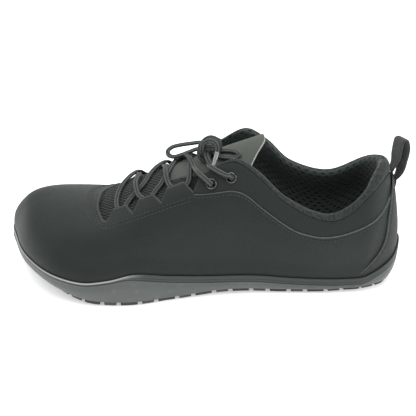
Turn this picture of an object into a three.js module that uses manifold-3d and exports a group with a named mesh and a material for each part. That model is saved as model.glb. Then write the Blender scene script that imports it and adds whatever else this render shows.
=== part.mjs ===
// A minimalist lace-up sneaker with a wide round toe: the left shoe, standing empty on its sole.
// Millimetres, +X towards the toe, +Y towards the outer side of the foot, +Z up.
// The origin is on the floor, under the middle of the heel seat.

import * as THREE from 'three';
import { mergeVertices } from 'three/addons/utils/BufferGeometryUtils.js';
import Module from 'manifold-3d';

const wasm = await Module();
wasm.setup();

// Driving sizes of the last.
const LENGTH = 285;             // back of the heel to the tip of the toe, at the lip of the sole
const HALF_BALL = 50;           // middle line to the lip at the inner ball
const HALF_THROAT = 25;         // middle line to the opening's edge at the ears
const INSTEP_HEIGHT = 100;      // floor to the inner ear of the collar
const LIP_HEIGHT = 30;          // floor to the lip at the back of the heel
const HEEL_SEAT = 38;           // back of the heel to the origin
const FAN = 15;                 // how far the sections lean from the outline's normal to the opening

// Driving sizes of the sole.
const LIP = 2.6;                // thickness of the cup's wall at the lip
const LUG_HEIGHT = 3.0;
const PLATE = 4.0;              // rubber between the lugs and the foot bed
const TOE_SPRING = 12.5;         // tread to floor at the tip of the toe
const BEAD = 2.3;               // height of the bead round the toe
const BAND = 4.6;               // height of the band along the waist and heel
const GROOVE = 0.8;             // depth of the groove under bead and band
const SIDE_BULGE = 1.3;         // how far the side wall swells past the lip
const LUG_LENGTH = 9.6;         // along the edge
const LUG_GAP = 3.6;
const LUG_WIDTH = 9.5;          // from the edge inwards
const LUG_SET_BACK = 0.4;       // from the side wall's lower edge
const STUD_PITCH = 17.5;        // of the inner rows of studs, along the sole
const STUD_LENGTH = 13.5;
const STUD_WIDTH = 16;          // about, each row filling its breadth evenly

// Driving sizes of the upper.
const LEATHER = 1.9;
const OVERLAP = 1.0;            // how far the quarter and vamp stand over the collar panel
const INNER_OVERLAP = 0.5;      // the same on the inner quarter, which tucks under the vamp
const COLLAR_PAD = 7.0;         // thickness of the padded collar at its rim
const PAD_DEPTH = 26;           // how far down the padding reaches
const NOTCH_DEPTH = 11;         // of the notches between the lace tabs
const COUNTER_LEATHER = 1.3;
const CLEARANCE = 0.3;          // between pieces that lie on each other
const CUP_GAP = 0.6;            // between the facets of the upper and those of the cup's wall
const TUCK = 1.0;               // how far the wall draws in below the lip

// Driving sizes of the small pieces.
const INSOLE_THICKNESS = 3.0;
const TONGUE_THICKNESS = 3.2;
const TAB_UNDERLAP = 13;        // how far the tongue's sides reach under the lace tabs
const PANEL_UNDERLAP = 21;      // the same under the collar panel, past the eyelets
const WEBBING_WIDTH = 11;
const WEBBING_THICKNESS = 1.4;
const EYELET_BORE = 4.4;
const EYELET_BARREL = 0.55;     // wall of the barrel
const EYELET_FLANGE = 7.4;      // outer diameter of the ring that shows
const EYELET_RISE = 1.0;        // how far the ring stands off the leather
const LACE = 3.2;               // diameter

// One row for each section round the shoe, from the back of the heel over the outer side to the toe
// and back along the inner side. Lengths are shares: along and edgeAlong of LENGTH, lip of
// LIP_HEIGHT, edgeSide of HALF_THROAT, heights and ups of INSTEP_HEIGHT, the rest of HALF_BALL.
const STATION_COLUMNS = ['along', 'side', 'lip', 'under', 'edgeAlong', 'edgeSide', 'edgeHeight',
  'footOut', 'footUp', 'edgeOut', 'edgeUp'];
const STATIONS = [
  [0.003, 0.00, 1.00, 0.10, 0.044, 0.00, 0.800, 0.00, 0.18, 0.03, -0.14],
  [0.028, 0.40, 0.73, 0.09, 0.055, 0.45, 0.803, 0.04, 0.20, 0.09, -0.17],
  [0.091, 0.59, 0.41, 0.07, 0.089, 0.97, 0.735, 0.14, 0.22, 0.15, -0.20],
  [0.140, 0.63, 0.37, 0.05, 0.139, 1.23, 0.603, 0.12, 0.18, 0.12, -0.17],
  [0.193, 0.66, 0.38, 0.03, 0.196, 1.34, 0.560, 0.11, 0.16, 0.10, -0.16],
  [0.277, 0.68, 0.42, 0.03, 0.284, 1.26, 0.672, 0.11, 0.19, 0.13, -0.18],
  [0.345, 0.70, 0.48, 0.04, 0.347, 1.11, 0.835, 0.11, 0.23, 0.18, -0.22],
  [0.400, 0.74, 0.51, 0.04, 0.402, 0.98, 0.926, 0.10, 0.26, 0.24, -0.24],
  [0.456, 0.79, 0.53, 0.03, 0.460, 1.00, 0.860, 0.08, 0.24, 0.28, -0.18],
  [0.554, 0.92, 0.64, 0.00, 0.554, 1.12, 0.766, 0.05, 0.22, 0.28, -0.12],
  [0.628, 1.03, 0.76, -0.03, 0.628, 1.12, 0.672, 0.02, 0.19, 0.28, -0.09],
  [0.690, 1.08, 0.64, -0.01, 0.678, 1.10, 0.608, 0.01, 0.19, 0.28, -0.08],
  [0.755, 1.09, 0.59, 0.05, 0.718, 0.96, 0.578, 0.00, 0.20, 0.36, -0.05],
  [0.835, 0.96, 0.70, 0.14, 0.736, 0.62, 0.592, 0.01, 0.20, 0.48, -0.03],
  [0.912, 0.58, 0.82, 0.13, 0.745, 0.26, 0.597, 0.02, 0.20, 0.68, -0.02],
  [0.965, 0.08, 0.86, 0.09, 0.747, 0.02, 0.593, 0.02, 0.20, 0.88, -0.01],
  [1.000, -0.40, 0.87, 0.07, 0.746, -0.22, 0.585, 0.02, 0.20, 1.00, -0.01],
  [0.974, -0.78, 0.84, 0.08, 0.739, -0.54, 0.570, 0.01, 0.20, 0.80, -0.02],
  [0.905, -0.95, 0.75, 0.09, 0.729, -0.78, 0.553, 0.00, 0.20, 0.60, -0.03],
  [0.820, -1.01, 0.67, 0.09, 0.718, -0.94, 0.545, 0.00, 0.20, 0.42, -0.05],
  [0.735, -1.00, 0.62, 0.06, 0.700, -1.05, 0.568, 0.00, 0.20, 0.30, -0.07],
  [0.656, -0.94, 0.62, 0.02, 0.656, -1.08, 0.626, 0.02, 0.20, 0.28, -0.09],
  [0.554, -0.80, 0.58, 0.01, 0.554, -1.02, 0.772, 0.06, 0.24, 0.24, -0.14],
  [0.456, -0.68, 0.55, 0.02, 0.456, -0.92, 0.888, 0.08, 0.27, 0.22, -0.20],
  [0.389, -0.65, 0.52, 0.03, 0.383, -0.98, 0.983, 0.08, 0.30, 0.20, -0.26],
  [0.330, -0.64, 0.47, 0.03, 0.326, -1.12, 0.885, 0.08, 0.26, 0.13, -0.22],
  [0.270, -0.64, 0.43, 0.03, 0.268, -1.24, 0.722, 0.08, 0.22, 0.09, -0.18],
  [0.179, -0.64, 0.38, 0.04, 0.172, -1.25, 0.645, 0.10, 0.18, 0.09, -0.16],
  [0.091, -0.57, 0.42, 0.06, 0.088, -0.92, 0.755, 0.12, 0.22, 0.14, -0.20],
  [0.028, -0.38, 0.73, 0.09, 0.053, -0.40, 0.802, 0.04, 0.20, 0.09, -0.17],
];

// The bottom's rise off the floor, as shares of LENGTH and TOE_SPRING.
const SPRING = [[0.000, 0.16], [0.035, 0.00], [0.300, 0.00], [0.420, 0.09], [0.530, 0.00],
  [0.700, 0.00], [0.755, 0.06], [0.807, 0.24], [0.877, 0.56], [0.947, 0.84], [1.000, 1.00]];

// The collar panel's lower seam: height over length, as shares of INSTEP_HEIGHT and LENGTH.
const COLLAR_SEAM = [[0.000, 0.73], [0.040, 0.65], [0.060, 0.590], [0.085, 0.535], [0.138, 0.470],
  [0.190, 0.444], [0.225, 0.452], [0.269, 0.494], [0.333, 0.622], [0.375, 0.718], [0.405, 0.745],
  [0.440, 0.735], [0.475, 0.725], [0.502, 0.728]];

// The notches along the opening, as shares of LENGTH: back corner, bottom and front corner.
const NOTCHES = [[0.480, 0.496, 0.516], [0.554, 0.567, 0.588], [0.619, 0.633, 0.653],
  [0.684, 0.698, 0.717]];

// The heel counter's front edge: length over height, as shares of LENGTH and INSTEP_HEIGHT.
const COUNTER_EDGE = [[0.10, 0.145], [0.12, 0.125], [0.20, 0.094], [0.29, 0.069], [0.38, 0.057],
  [0.54, 0.052], [0.70, 0.047], [0.85, 0.042]];

// The tongue's crown line, as shares of LENGTH, HALF_THROAT and INSTEP_HEIGHT.
const TONGUE_CROWN = [[0.335, -0.20, 1.005], [0.420, -0.14, 0.925], [0.520, -0.06, 0.825],
  [0.620, 0.00, 0.725], [0.690, 0.00, 0.640], [0.735, 0.00, 0.572], [0.765, 0.00, 0.548]];

const vec = (x, y, z) => new THREE.Vector3(x, y, z);
const UP = vec(0, 0, 1);
const clamp = THREE.MathUtils.clamp;
const lerp = THREE.MathUtils.lerp;

function smooth(value, low, high) {
  return THREE.MathUtils.smoothstep(value, low, high);
}

// Cubic curve through rows of [place, ...values], at the given place, with each row's own slope.
function curveThrough(rows, place, period = 0) {
  const count = rows.length;
  const rowAt = (i) => {
    if (!period) return rows[clamp(i, 0, count - 1)];
    const lap = Math.floor(i / count);
    const row = rows[i - lap * count];
    return [row[0] + lap * period, ...row.slice(1)];
  };
  const wanted = period ? ((place % period) + period) % period : clamp(place, rows[0][0], rows[count - 1][0]);
  let i = 0;
  while (i < count - 1 && rows[i + 1][0] <= wanted) i += 1;
  if (!period) i = Math.min(i, count - 2);
  const [before, a, b, after] = [rowAt(i - 1), rowAt(i), rowAt(i + 1), rowAt(i + 2)];
  const span = b[0] - a[0];
  const t = (wanted - a[0]) / span;
  const slope = (p, q, k) => (q[0] === p[0] ? 0 : (q[k] - p[k]) / (q[0] - p[0]));
  return a.slice(1).map((value, n) => {
    const k = n + 1;
    const startSlope = slope(before, b, k) * span;
    const endSlope = slope(a, after, k) * span;
    const t2 = t * t;
    const t3 = t2 * t;
    return (2 * t3 - 3 * t2 + 1) * value + (t3 - 2 * t2 + t) * startSlope
      + (3 * t2 - 2 * t3) * b[k] + (t3 - t2) * endSlope;
  });
}

function scaledStation(row) {
  const share = Object.fromEntries(STATION_COLUMNS.map((name, i) => [name, row[i]]));
  return [share.along * LENGTH, share.side * HALF_BALL, share.lip * LIP_HEIGHT,
    share.under * HALF_BALL, share.edgeAlong * LENGTH, share.edgeSide * HALF_THROAT,
    share.edgeHeight * INSTEP_HEIGHT, share.footOut * HALF_BALL, share.footUp * INSTEP_HEIGHT,
    share.edgeOut * HALF_BALL, share.edgeUp * INSTEP_HEIGHT];
}

// The stations with their distance round the lip in front, and the distance once round.
const stationRows = STATIONS.map(scaledStation);
let lap = 0;
const ringRows = stationRows.map((row, i) => {
  const next = stationRows[(i + 1) % stationRows.length];
  const placed = [lap, ...row];
  lap += Math.hypot(next[0] - row[0], next[1] - row[1]);
  return placed;
});
const AROUND = lap;
const TOE_AROUND = ringRows.reduce((tip, row) => (row[1] > tip[1] ? row : tip))[0];

function stationAt(around) {
  const [x, y, lip, under, edgeX, edgeY, edgeZ, footOut, footUp, edgeOut, edgeUp] =
    curveThrough(ringRows, around, AROUND);
  return { x, y, lip, under, edge: vec(edgeX, edgeY, edgeZ), footOut, footUp, edgeOut, edgeUp };
}

// Unit vector pointing out of the shoe in plan, square to the lip.
function outwardAt(around) {
  const step = 0.5;
  const a = stationAt(around - step);
  const b = stationAt(around + step);
  return vec(a.y - b.y, b.x - a.x, 0).normalize();
}

const springAt = (x) => Math.max(0, curveThrough(SPRING, x / LENGTH)[0]) * TOE_SPRING;
const floorOfCup = (x) => springAt(x) + LUG_HEIGHT + PLATE;

// One section of the upper: its foot, its lower end in the cup, and a way to walk up it.
const sectionCache = new Map();
function sectionAt(around) {
  const key = around.toFixed(4);
  if (sectionCache.has(key)) return sectionCache.get(key);
  const station = stationAt(around);
  const out = outwardAt(around);
  const inset = LIP + CUP_GAP + OVERLAP;
  const foot = vec(station.x, station.y, station.lip).addScaledVector(out, -inset);
  const end = station.edge;
  const lean = vec(foot.x - end.x, foot.y - end.y, 0).addScaledVector(out, FAN).normalize();
  const first = foot.clone().addScaledVector(out, station.footOut).addScaledVector(UP, station.footUp);
  const second = end.clone().addScaledVector(lean, station.edgeOut).addScaledVector(UP, station.edgeUp);
  const curve = new THREE.CubicBezierCurve3(foot, first, second, end);
  const low = foot.clone().addScaledVector(out, -TUCK);
  low.z = floorOfCup(low.x) + CLEARANCE;
  const section = { around, station, out, foot, low, curve, length: curve.getLength() };
  sectionCache.set(key, section);
  return section;
}

// Point on the bare last, a share of the way up its section; small steps past the edge are allowed.
function lastPoint(around, up) {
  const { curve, foot, low } = sectionAt(around);
  if (up < 0) return foot.clone().lerp(low, -up);
  return up <= 1 ? curve.getPointAt(up) : curve.getPointAt(1)
    .addScaledVector(curve.getTangentAt(1), (up - 1) * sectionAt(around).length);
}

function lastNormal(around, up) {
  const turn = 0.8;
  const rise = 0.01;
  const along = lastPoint(around + turn, up).sub(lastPoint(around - turn, up));
  const climb = lastPoint(around, up + rise).sub(lastPoint(around, up - rise));
  return climb.cross(along).normalize();
}

// Distance round the shoe, on one side of it, where a measure that grows towards the toe is reached.
function findAround(measure, wanted, outer) {
  let near = outer ? 0 : AROUND;
  let far = TOE_AROUND;
  for (let i = 0; i < 40; i += 1) {
    const middle = (near + far) / 2;
    if (measure(middle) < wanted) near = middle;
    else far = middle;
  }
  return (near + far) / 2;
}

const aroundAtLip = (x, outer) => findAround((around) => stationAt(around).x, x, outer);
const aroundAtEdge = (x, outer) => findAround((around) => stationAt(around).edge.x, x, outer);
const edgeShare = (around) => stationAt(around).edge.x / LENGTH;

// How far down its section the opening's edge is cut, for the notches between the lace tabs.
function notchDepth(around) {
  const x = edgeShare(around);
  const notch = NOTCHES.find(([back, , front]) => x > back && x < front);
  if (!notch) return 0;
  const [back, bottom, front] = notch;
  return NOTCH_DEPTH * (x < bottom ? (x - back) / (bottom - back) : (front - x) / (front - bottom));
}

const edgeUpAt = (around) => 1 - notchDepth(around) / sectionAt(around).length;

const SEAM_END = NOTCHES[0][1];         // the collar panel's seam ends in the last notch
const TAB_SEAM = 0.72;                  // share of the section where the tabs' own rows divide
const SEAM_SHY = 1.4;                   // least distance from the seam to the opening's edge

// Share of the section where the collar panel's seam crosses it.
function seamUpAt(around) {
  const x = edgeShare(around);
  const top = edgeUpAt(around);
  const tabSeam = TAB_SEAM * top;
  if (x >= NOTCHES[0][2]) return tabSeam;
  let low = 0.05;
  let high = 1;
  for (let i = 0; i < 24; i += 1) {
    const middle = (low + high) / 2;
    const point = lastPoint(around, middle);
    const seam = curveThrough(COLLAR_SEAM, point.x / LENGTH)[0] * INSTEP_HEIGHT;
    if (point.z < seam) low = middle;
    else high = middle;
  }
  const seam = Math.min(low, top - SEAM_SHY / sectionAt(around).length);
  return lerp(seam, tabSeam, smooth(x, SEAM_END, NOTCHES[0][2]));
}

const INNER_VAMP_SEAM = aroundAtEdge(NOTCHES[3][1] * LENGTH, false);

// How far the outer leather stands off the last, below or above the collar panel's seam.
function layerAt(around, aboveSeam) {
  if (aboveSeam && edgeShare(around) < SEAM_END) return 0;
  return around > INNER_VAMP_SEAM ? INNER_OVERLAP : OVERLAP;
}

const PAD_START = 0.34;                 // share of LENGTH where the rim's padding begins to thin
const PAD_END = 0.43;

function wallAt(around, up) {
  const padding = 1 - smooth(edgeShare(around), PAD_START, PAD_END);
  const below = (edgeUpAt(around) - up) * sectionAt(around).length;
  return lerp(LEATHER, COLLAR_PAD, padding * smooth(PAD_DEPTH - below, 0, PAD_DEPTH));
}

const offsetPoint = (around, up, distance) =>
  lastPoint(around, up).addScaledVector(lastNormal(around, up), distance);
const innerPoint = (around, up) => offsetPoint(around, up, -wallAt(around, up));

// Places round the shoe: close together at heel and toe, where the outline turns, and paired on
// the two sides. Marks are places that must be kept.
const MARK_ROOM = 2.2;
function placesAround(pairs, marks = []) {
  const start = stationAt(0).x;
  const places = [0, TOE_AROUND];
  for (let i = 1; i < pairs; i += 1) {
    const x = lerp(start, LENGTH, (1 - Math.cos((Math.PI * i) / pairs)) / 2);
    places.push(aroundAtLip(x, true), aroundAtLip(x, false));
  }
  const free = places.filter((place) => marks.every((mark) => Math.abs(mark - place) > MARK_ROOM));
  return [...free, ...marks].sort((a, b) => a - b);
}

function meshOf(points, faces) {
  const geometry = new THREE.BufferGeometry();
  geometry.setAttribute('position',
    new THREE.Float32BufferAttribute(points.flatMap((p) => [p.x, p.y, p.z]), 3));
  geometry.setIndex(faces.flat());
  return facingOut(geometry);
}

// Turns a closed mesh's faces outwards if it holds a negative volume.
function facingOut(geometry) {
  const position = geometry.attributes.position;
  const index = geometry.index.array;
  const corner = (i) => new THREE.Vector3().fromBufferAttribute(position, index[i]);
  let volume = 0;
  for (let i = 0; i < index.length; i += 3) {
    volume += corner(i).dot(corner(i + 1).cross(corner(i + 2)));
  }
  if (volume < 0) {
    for (let i = 0; i < index.length; i += 3) {
      [index[i + 1], index[i + 2]] = [index[i + 2], index[i + 1]];
    }
  }
  return geometry;
}

// Two triangles for the four corners, cut along the shorter diagonal.
function quad(points, a, b, c, d) {
  return points[a].distanceTo(points[c]) < points[b].distanceTo(points[d])
    ? [a, b, c, a, c, d] : [a, b, d, b, c, d];
}

// Closed loops of points joined one to the next, and the last to the first.
function ringOfLoops(loops) {
  const size = loops[0].length;
  const points = loops.flat();
  const faces = loops.flatMap((_, i) => loops[0].map((__, j) => {
    const [next, up] = [(i + 1) % loops.length, (j + 1) % size];
    return quad(points, i * size + j, next * size + j, next * size + up, i * size + up);
  }));
  return meshOf(points, faces);
}

// Rows round the shoe, with both end rows closed across from side to side. Each row has its
// points in pairs: the first at the heel, the middle one at the toe.
function closedRows(rows) {
  const size = rows[0].length;
  const points = rows.flat();
  const faces = [];
  for (let row = 0; row < rows.length - 1; row += 1) {
    for (let i = 0; i < size; i += 1) {
      const next = (i + 1) % size;
      faces.push(quad(points, row * size + i, row * size + next, (row + 1) * size + next,
        (row + 1) * size + i));
    }
  }
  const cap = (first, flip) => {
    for (let i = 0; i < size / 2; i += 1) {
      const [a, b] = [first + i, first + i + 1];
      const [c, d] = [first + ((size - i - 1) % size), first + ((size - i) % size)];
      const corners = i === 0 ? [a, b, c] : i === size / 2 - 1 ? [a, b, d]
        : quad(points, a, b, c, d);
      faces.push(flip ? corners.reverse() : corners);
    }
  };
  cap(0, true);
  cap((rows.length - 1) * size, false);
  return meshOf(points, faces);
}

// A sheet between two grids of points of the same size, closed round its border.
function sheetBetween(front, back) {
  const [rows, columns] = [front.length, front[0].length];
  const points = [...front.flat(), ...back.flat()];
  const other = rows * columns;
  const faces = [];
  for (let i = 0; i < rows - 1; i += 1) {
    for (let j = 0; j < columns - 1; j += 1) {
      const [a, b, c, d] = [i * columns + j, i * columns + j + 1, (i + 1) * columns + j + 1,
        (i + 1) * columns + j];
      faces.push(quad(points, a, b, c, d));
      faces.push(quad(points, other + d, other + c, other + b, other + a));
    }
  }
  const border = [];
  for (let j = 0; j < columns - 1; j += 1) border.push(j);
  for (let i = 0; i < rows - 1; i += 1) border.push(i * columns + columns - 1);
  for (let j = columns - 1; j > 0; j -= 1) border.push((rows - 1) * columns + j);
  for (let i = rows - 1; i > 0; i -= 1) border.push(i * columns);
  border.forEach((a, i) => {
    const b = border[(i + 1) % border.length];
    faces.push(quad(points, b, a, other + a, other + b));
  });
  return meshOf(points, faces);
}

// The same mesh with its shared corners joined.
function bareOf(geometry) {
  const bare = geometry.clone();
  bare.deleteAttribute('normal');
  bare.deleteAttribute('uv');
  return mergeVertices(bare, 1e-4);
}

function toSolid(geometry) {
  const merged = bareOf(geometry);
  return new wasm.Manifold(new wasm.Mesh({
    numProp: 3,
    vertProperties: new Float32Array(merged.attributes.position.array),
    triVerts: new Uint32Array(merged.index.array),
  }));
}

function fromSolid(solid) {
  const { vertProperties, triVerts } = solid.getMesh();
  const geometry = new THREE.BufferGeometry();
  geometry.setAttribute('position', new THREE.Float32BufferAttribute(vertProperties, 3));
  geometry.setIndex(Array.from(triVerts));
  return geometry;
}

// Outsole: a cup with a bead or band at its lip, a swelling side wall and a lugged bottom.

const BAND_BACK = 0.60;                 // share of LENGTH behind which the bead widens to a band
const BAND_FRONT = 0.68;
const beadHeight = (x) => lerp(BAND, BEAD, smooth(x / LENGTH, BAND_BACK, BAND_FRONT));
const bottomEdge = (station, out, inset) => {
  const point = vec(station.x, station.y, 0).addScaledVector(out, -station.under - inset);
  point.z = springAt(point.x) + LUG_HEIGHT;
  return point;
};

// The cup's section, from the foot bed over the lip and down the outside to the tread.
function cupSection(around) {
  const { station, out, low } = sectionAt(around);
  const lip = vec(station.x, station.y, station.lip);
  const bead = beadHeight(station.x);
  const bottom = bottomEdge(station, out, 0);
  const bed = low.clone().addScaledVector(out, OVERLAP + CUP_GAP);
  bed.z = floorOfCup(bed.x);
  const at = (outwards, below) => lip.clone().addScaledVector(out, outwards)
    .addScaledVector(UP, -below);
  const wall = (share, swell) => at(0, bead + GROOVE).lerp(bottom, share)
    .addScaledVector(out, swell * SIDE_BULGE);
  return [bed, at(-LIP, 1.0), at(-0.75 * LIP, 0.1), at(-0.3 * LIP, 0), at(0, 0.8), at(0, bead - 0.4),
    at(-GROOVE, bead + 0.3), wall(0.04, 0), wall(0.35, 0.9), wall(0.7, 0.8), wall(0.92, 0.35), bottom];
}

function prism(below, above) {
  const size = below.length;
  const points = [...below, ...above];
  const faces = below.map((_, i) => {
    const next = (i + 1) % size;
    return [i, next, size + next, i, size + next, size + i];
  });
  for (let i = 1; i < size - 1; i += 1) {
    faces.push([0, i + 1, i], [size, size + i, size + i + 1]);
  }
  return meshOf(points, faces);
}

const LUG_ROOT = 1.2;                   // how far a lug reaches up into the plate

// A lug from its outline in plan, standing between the floor's rise and the plate.
function lugOf(outline) {
  const below = outline.map((p) => vec(p.x, p.y, springAt(p.x)));
  const above = outline.map((p) => vec(p.x, p.y, springAt(p.x) + LUG_HEIGHT + LUG_ROOT));
  return prism(below, above);
}

function edgeLugs() {
  const count = Math.round(AROUND / (LUG_LENGTH + LUG_GAP));
  const pitch = AROUND / count;
  return Array.from({ length: count }, (_, i) => {
    const start = (i + 0.5) * pitch;
    const corner = (around, inset) => bottomEdge(stationAt(around), outwardAt(around), inset);
    const reach = LUG_SET_BACK + LUG_WIDTH * (i % 2 ? 1 : 0.8);
    const end = start + pitch - LUG_GAP;
    return lugOf([corner(start, LUG_SET_BACK), corner(end, LUG_SET_BACK), corner(end, reach),
      corner(start, reach)]);
  });
}

const STUD_MARGIN = 3.0;                // between the edge lugs and the studs inside them

// Block studs in rows between the edge lugs, odd and even numbers by turns, so that one of them
// lies under the middle of the heel seat.
function innerStuds() {
  const studs = [];
  const room = LUG_SET_BACK + LUG_WIDTH + STUD_MARGIN;
  const half = STUD_LENGTH / 2;
  const first = Math.ceil((room + half - HEEL_SEAT) / STUD_PITCH);
  const last = Math.floor((LENGTH - room - half - HEEL_SEAT) / STUD_PITCH);
  for (let row = first; row <= last; row += 1) {
    const x = HEEL_SEAT + row * STUD_PITCH;
    const side = (outer) => Math.min(...[-half, half].map((shift) => {
      const around = aroundAtLip(x + shift, outer);
      return Math.abs(bottomEdge(stationAt(around), outwardAt(around), room).y);
    }));
    const [low, breadth] = [-side(false), side(false) + side(true)];
    const odd = row % 2 === 0 ? 1 : 0;
    const count = Math.max(1, 2 * Math.round((breadth / STUD_WIDTH - odd) / 2) + odd);
    const step = (breadth + LUG_GAP) / count;
    for (let i = 0; i < count; i += 1) {
      const [right, left] = [low + i * step, low + (i + 1) * step - LUG_GAP];
      studs.push(lugOf([vec(x - half, right, 0), vec(x + half, right, 0), vec(x + half, left, 0),
        vec(x - half, left, 0)]));
    }
  }
  return studs;
}

const SOLE_PAIRS = 26;

function outsole() {
  const sections = placesAround(SOLE_PAIRS).map(cupSection);
  const rows = sections[0].map((_, i) => sections.map((section) => section[i]));
  const cup = toSolid(closedRows(rows));
  return fromSolid([...edgeLugs(), ...innerStuds()]
    .reduce((solid, lug) => solid.add(toSolid(lug)), cup));
}

const INSOLE_GAP = 0.5;                 // between the insole's edge and the upper's wall

function insole() {
  const places = placesAround(SOLE_PAIRS);
  const ring = (height) => places.map((around) => {
    const { low, out } = sectionAt(around);
    const point = low.clone().addScaledVector(out, -LEATHER - INSOLE_GAP);
    point.z = floorOfCup(point.x) + CLEARANCE + height;
    return point;
  });
  return closedRows([ring(0), ring(INSOLE_THICKNESS)]);
}

// Upper: one wall, its outer face stepped at the seams, rolled over at the opening's edge.

const UPPER_PAIRS = 30;
const SEAM_HALF = 0.35;                 // half the length of the step at a seam
const LOWER_ROWS = [0.12, 0.32, 0.55, 0.78];
const UPPER_ROWS = [0.35, 0.7];
const INNER_ROWS = [0.72, 0.45, 0.2];

function upperSection(around) {
  const { length, low, out } = sectionAt(around);
  const top = edgeUpAt(around);
  const seam = seamUpAt(around);
  const step = SEAM_HALF / length;
  const outer = (up, above) => offsetPoint(around, up, layerAt(around, above));
  const lowerRows = LOWER_ROWS.map((share) => outer(share * (seam - step), false));
  const upperRows = UPPER_ROWS.map((share) => outer(lerp(seam + step, top, share), true));
  const crest = outer(top, true);
  const inside = innerPoint(around, top);
  const middle = crest.clone().add(inside).multiplyScalar(0.5);
  const half = crest.distanceTo(inside) / 2;
  const across = crest.clone().sub(inside).normalize();
  const climb = lastPoint(around, top).sub(lastPoint(around, top - 0.01)).normalize();
  const roll = [0.25, 0.5, 0.75].map((turn) => middle.clone()
    .addScaledVector(across, half * Math.cos(Math.PI * turn))
    .addScaledVector(climb, half * Math.sin(Math.PI * turn)));
  return [
    low.clone().addScaledVector(out, OVERLAP), outer(0, false), ...lowerRows,
    outer(seam - step, false), outer(seam + step, true), ...upperRows, crest, ...roll, inside,
    ...INNER_ROWS.map((share) => innerPoint(around, share * top)), innerPoint(around, 0),
    low.clone().addScaledVector(out, -LEATHER),
  ];
}

function notchMarks() {
  return [true, false].flatMap((outer) => NOTCHES.flat()
    .map((share) => aroundAtEdge(share * LENGTH, outer)));
}

function upper() {
  const seamSides = [-SEAM_HALF, SEAM_HALF].map((side) => INNER_VAMP_SEAM + side);
  const marks = [...notchMarks().filter((mark) => Math.abs(mark - INNER_VAMP_SEAM) > MARK_ROOM),
    ...seamSides];
  const wall = toSolid(ringOfLoops(placesAround(UPPER_PAIRS, marks).map(upperSection)));
  const hole = EYELET_BORE / 2 + EYELET_BARREL + CLEARANCE;
  const drill = new THREE.CylinderGeometry(hole, hole, 4 * COLLAR_PAD, EYELET_SIDES);
  drill.rotateX(Math.PI / 2);
  return fromSolid(eyeletSeats().reduce((solid, seat) =>
    solid.subtract(toSolid(drill.clone().applyMatrix4(seat))), wall));
}

// Eyelets: two rings a side in the collar panel, each a flanged barrel.

const EYELET_SIDES = 12;
// Places of the front and back eyelet: share of LENGTH, and depth under the opening's edge.
const EYELETS = [[0.455, 9.5], [0.410, 11.0]];

// Point of the upper under the opening's edge on one side, lifted off the last.
function panelPoint(outer, along, depth, lift) {
  const around = aroundAtEdge(along * LENGTH, outer);
  return offsetPoint(around, 1 - depth / sectionAt(around).length, lift);
}

// Frames of the four eyelets, with +Z out of the shoe.
function eyeletSeats() {
  return [true, false].flatMap((outer) => EYELETS.map(([along, depth]) => {
    const seat = panelPoint(outer, along, depth, 0);
    const axis = panelPoint(outer, along, depth, 1).sub(seat);
    const turn = new THREE.Quaternion().setFromUnitVectors(UP, axis);
    return new THREE.Matrix4().compose(seat, turn, vec(1, 1, 1));
  }));
}

function eyelet() {
  const bore = EYELET_BORE / 2;
  const barrel = bore + EYELET_BARREL;
  const flange = EYELET_FLANGE / 2;
  const depth = LEATHER + 2 * CLEARANCE;
  const seat = CLEARANCE + 0.1;
  const profile = [[bore, -depth], [barrel, -depth], [barrel, seat], [flange, seat],
    [flange - 0.9, seat + EYELET_RISE], [bore, seat + 0.5 * EYELET_RISE], [bore, -depth]];
  const turned = new THREE.LatheGeometry(profile.map(([r, z]) => new THREE.Vector2(r, z)), EYELET_SIDES);
  return fromSolid(toSolid(facingOut(bareOf(turned.rotateX(Math.PI / 2)))));
}

// Heel counter: a leather overlay round the back of the heel, flaring forward at the sole.

const COUNTER_ROWS = [0, 0.12, 0.26, 0.42, 0.6, 0.8, 1];
const COUNTER_COLUMNS = 12;
const COUNTER_TOP = 0.955;
const COUNTER_SEAT = OVERLAP + CLEARANCE + 0.15;    // its inner face off the last
const COUNTER_FOOT = 1.5;               // height of its lower edge over the lip

function heelCounter() {
  const grid = (distance) => COUNTER_ROWS.map((row) => {
    const upAt = (around) => lerp(COUNTER_FOOT / sectionAt(around).length, COUNTER_TOP, row);
    const reach = (outer) => {
      let near = outer ? 0 : AROUND;
      let far = outer ? TOE_AROUND / 2 : (AROUND + TOE_AROUND) / 2;
      for (let i = 0; i < 24; i += 1) {
        const middle = (near + far) / 2;
        const point = lastPoint(middle, upAt(middle));
        const edge = curveThrough(COUNTER_EDGE, point.z / INSTEP_HEIGHT)[0] * LENGTH;
        if (point.x < edge) near = middle;
        else far = middle;
      }
      return outer ? near : near - AROUND;
    };
    const [inner, outer] = [reach(false), reach(true)];
    return Array.from({ length: COUNTER_COLUMNS + 1 }, (_, i) => {
      const around = lerp(inner, outer, i / COUNTER_COLUMNS);
      return offsetPoint(around, upAt(around), distance);
    });
  });
  return sheetBetween(grid(COUNTER_SEAT + COUNTER_LEATHER), grid(COUNTER_SEAT));
}

// Tongue: a padded sheet under the opening, arched from side to side, standing past the ears.

const TONGUE_ROWS = 11;
const TONGUE_SHARES = [-1, -0.84, -0.66, -0.45, -0.22, 0, 0.22, 0.45, 0.66, 0.84, 1];
const TONGUE_BACK = 0.335;
const TONGUE_FRONT = 0.765;
const PANEL_END = 0.46;                 // shares of LENGTH where its underlap changes
const TAB_START = 0.53;
const FRONT_TAPER = 0.3;                // how fast its sides draw in under the vamp
const ARCH = 1.6;                       // power of the arch's cosine
const TONGUE_FREE = 0.43;               // share of LENGTH behind which its sides leave the upper
const TONGUE_TOP_OUTER = 0.86;          // its half widths at the top, shares of HALF_THROAT
const TONGUE_TOP_INNER = 0.64;
const TONGUE_GAP = 1.3;                 // from its sides to the inside of the upper
const TONGUE_TOP_DROP = 0.10;           // share of INSTEP_HEIGHT
const TONGUE_ROUND = 0.035;             // how far its top corners are rounded, share of LENGTH

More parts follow.
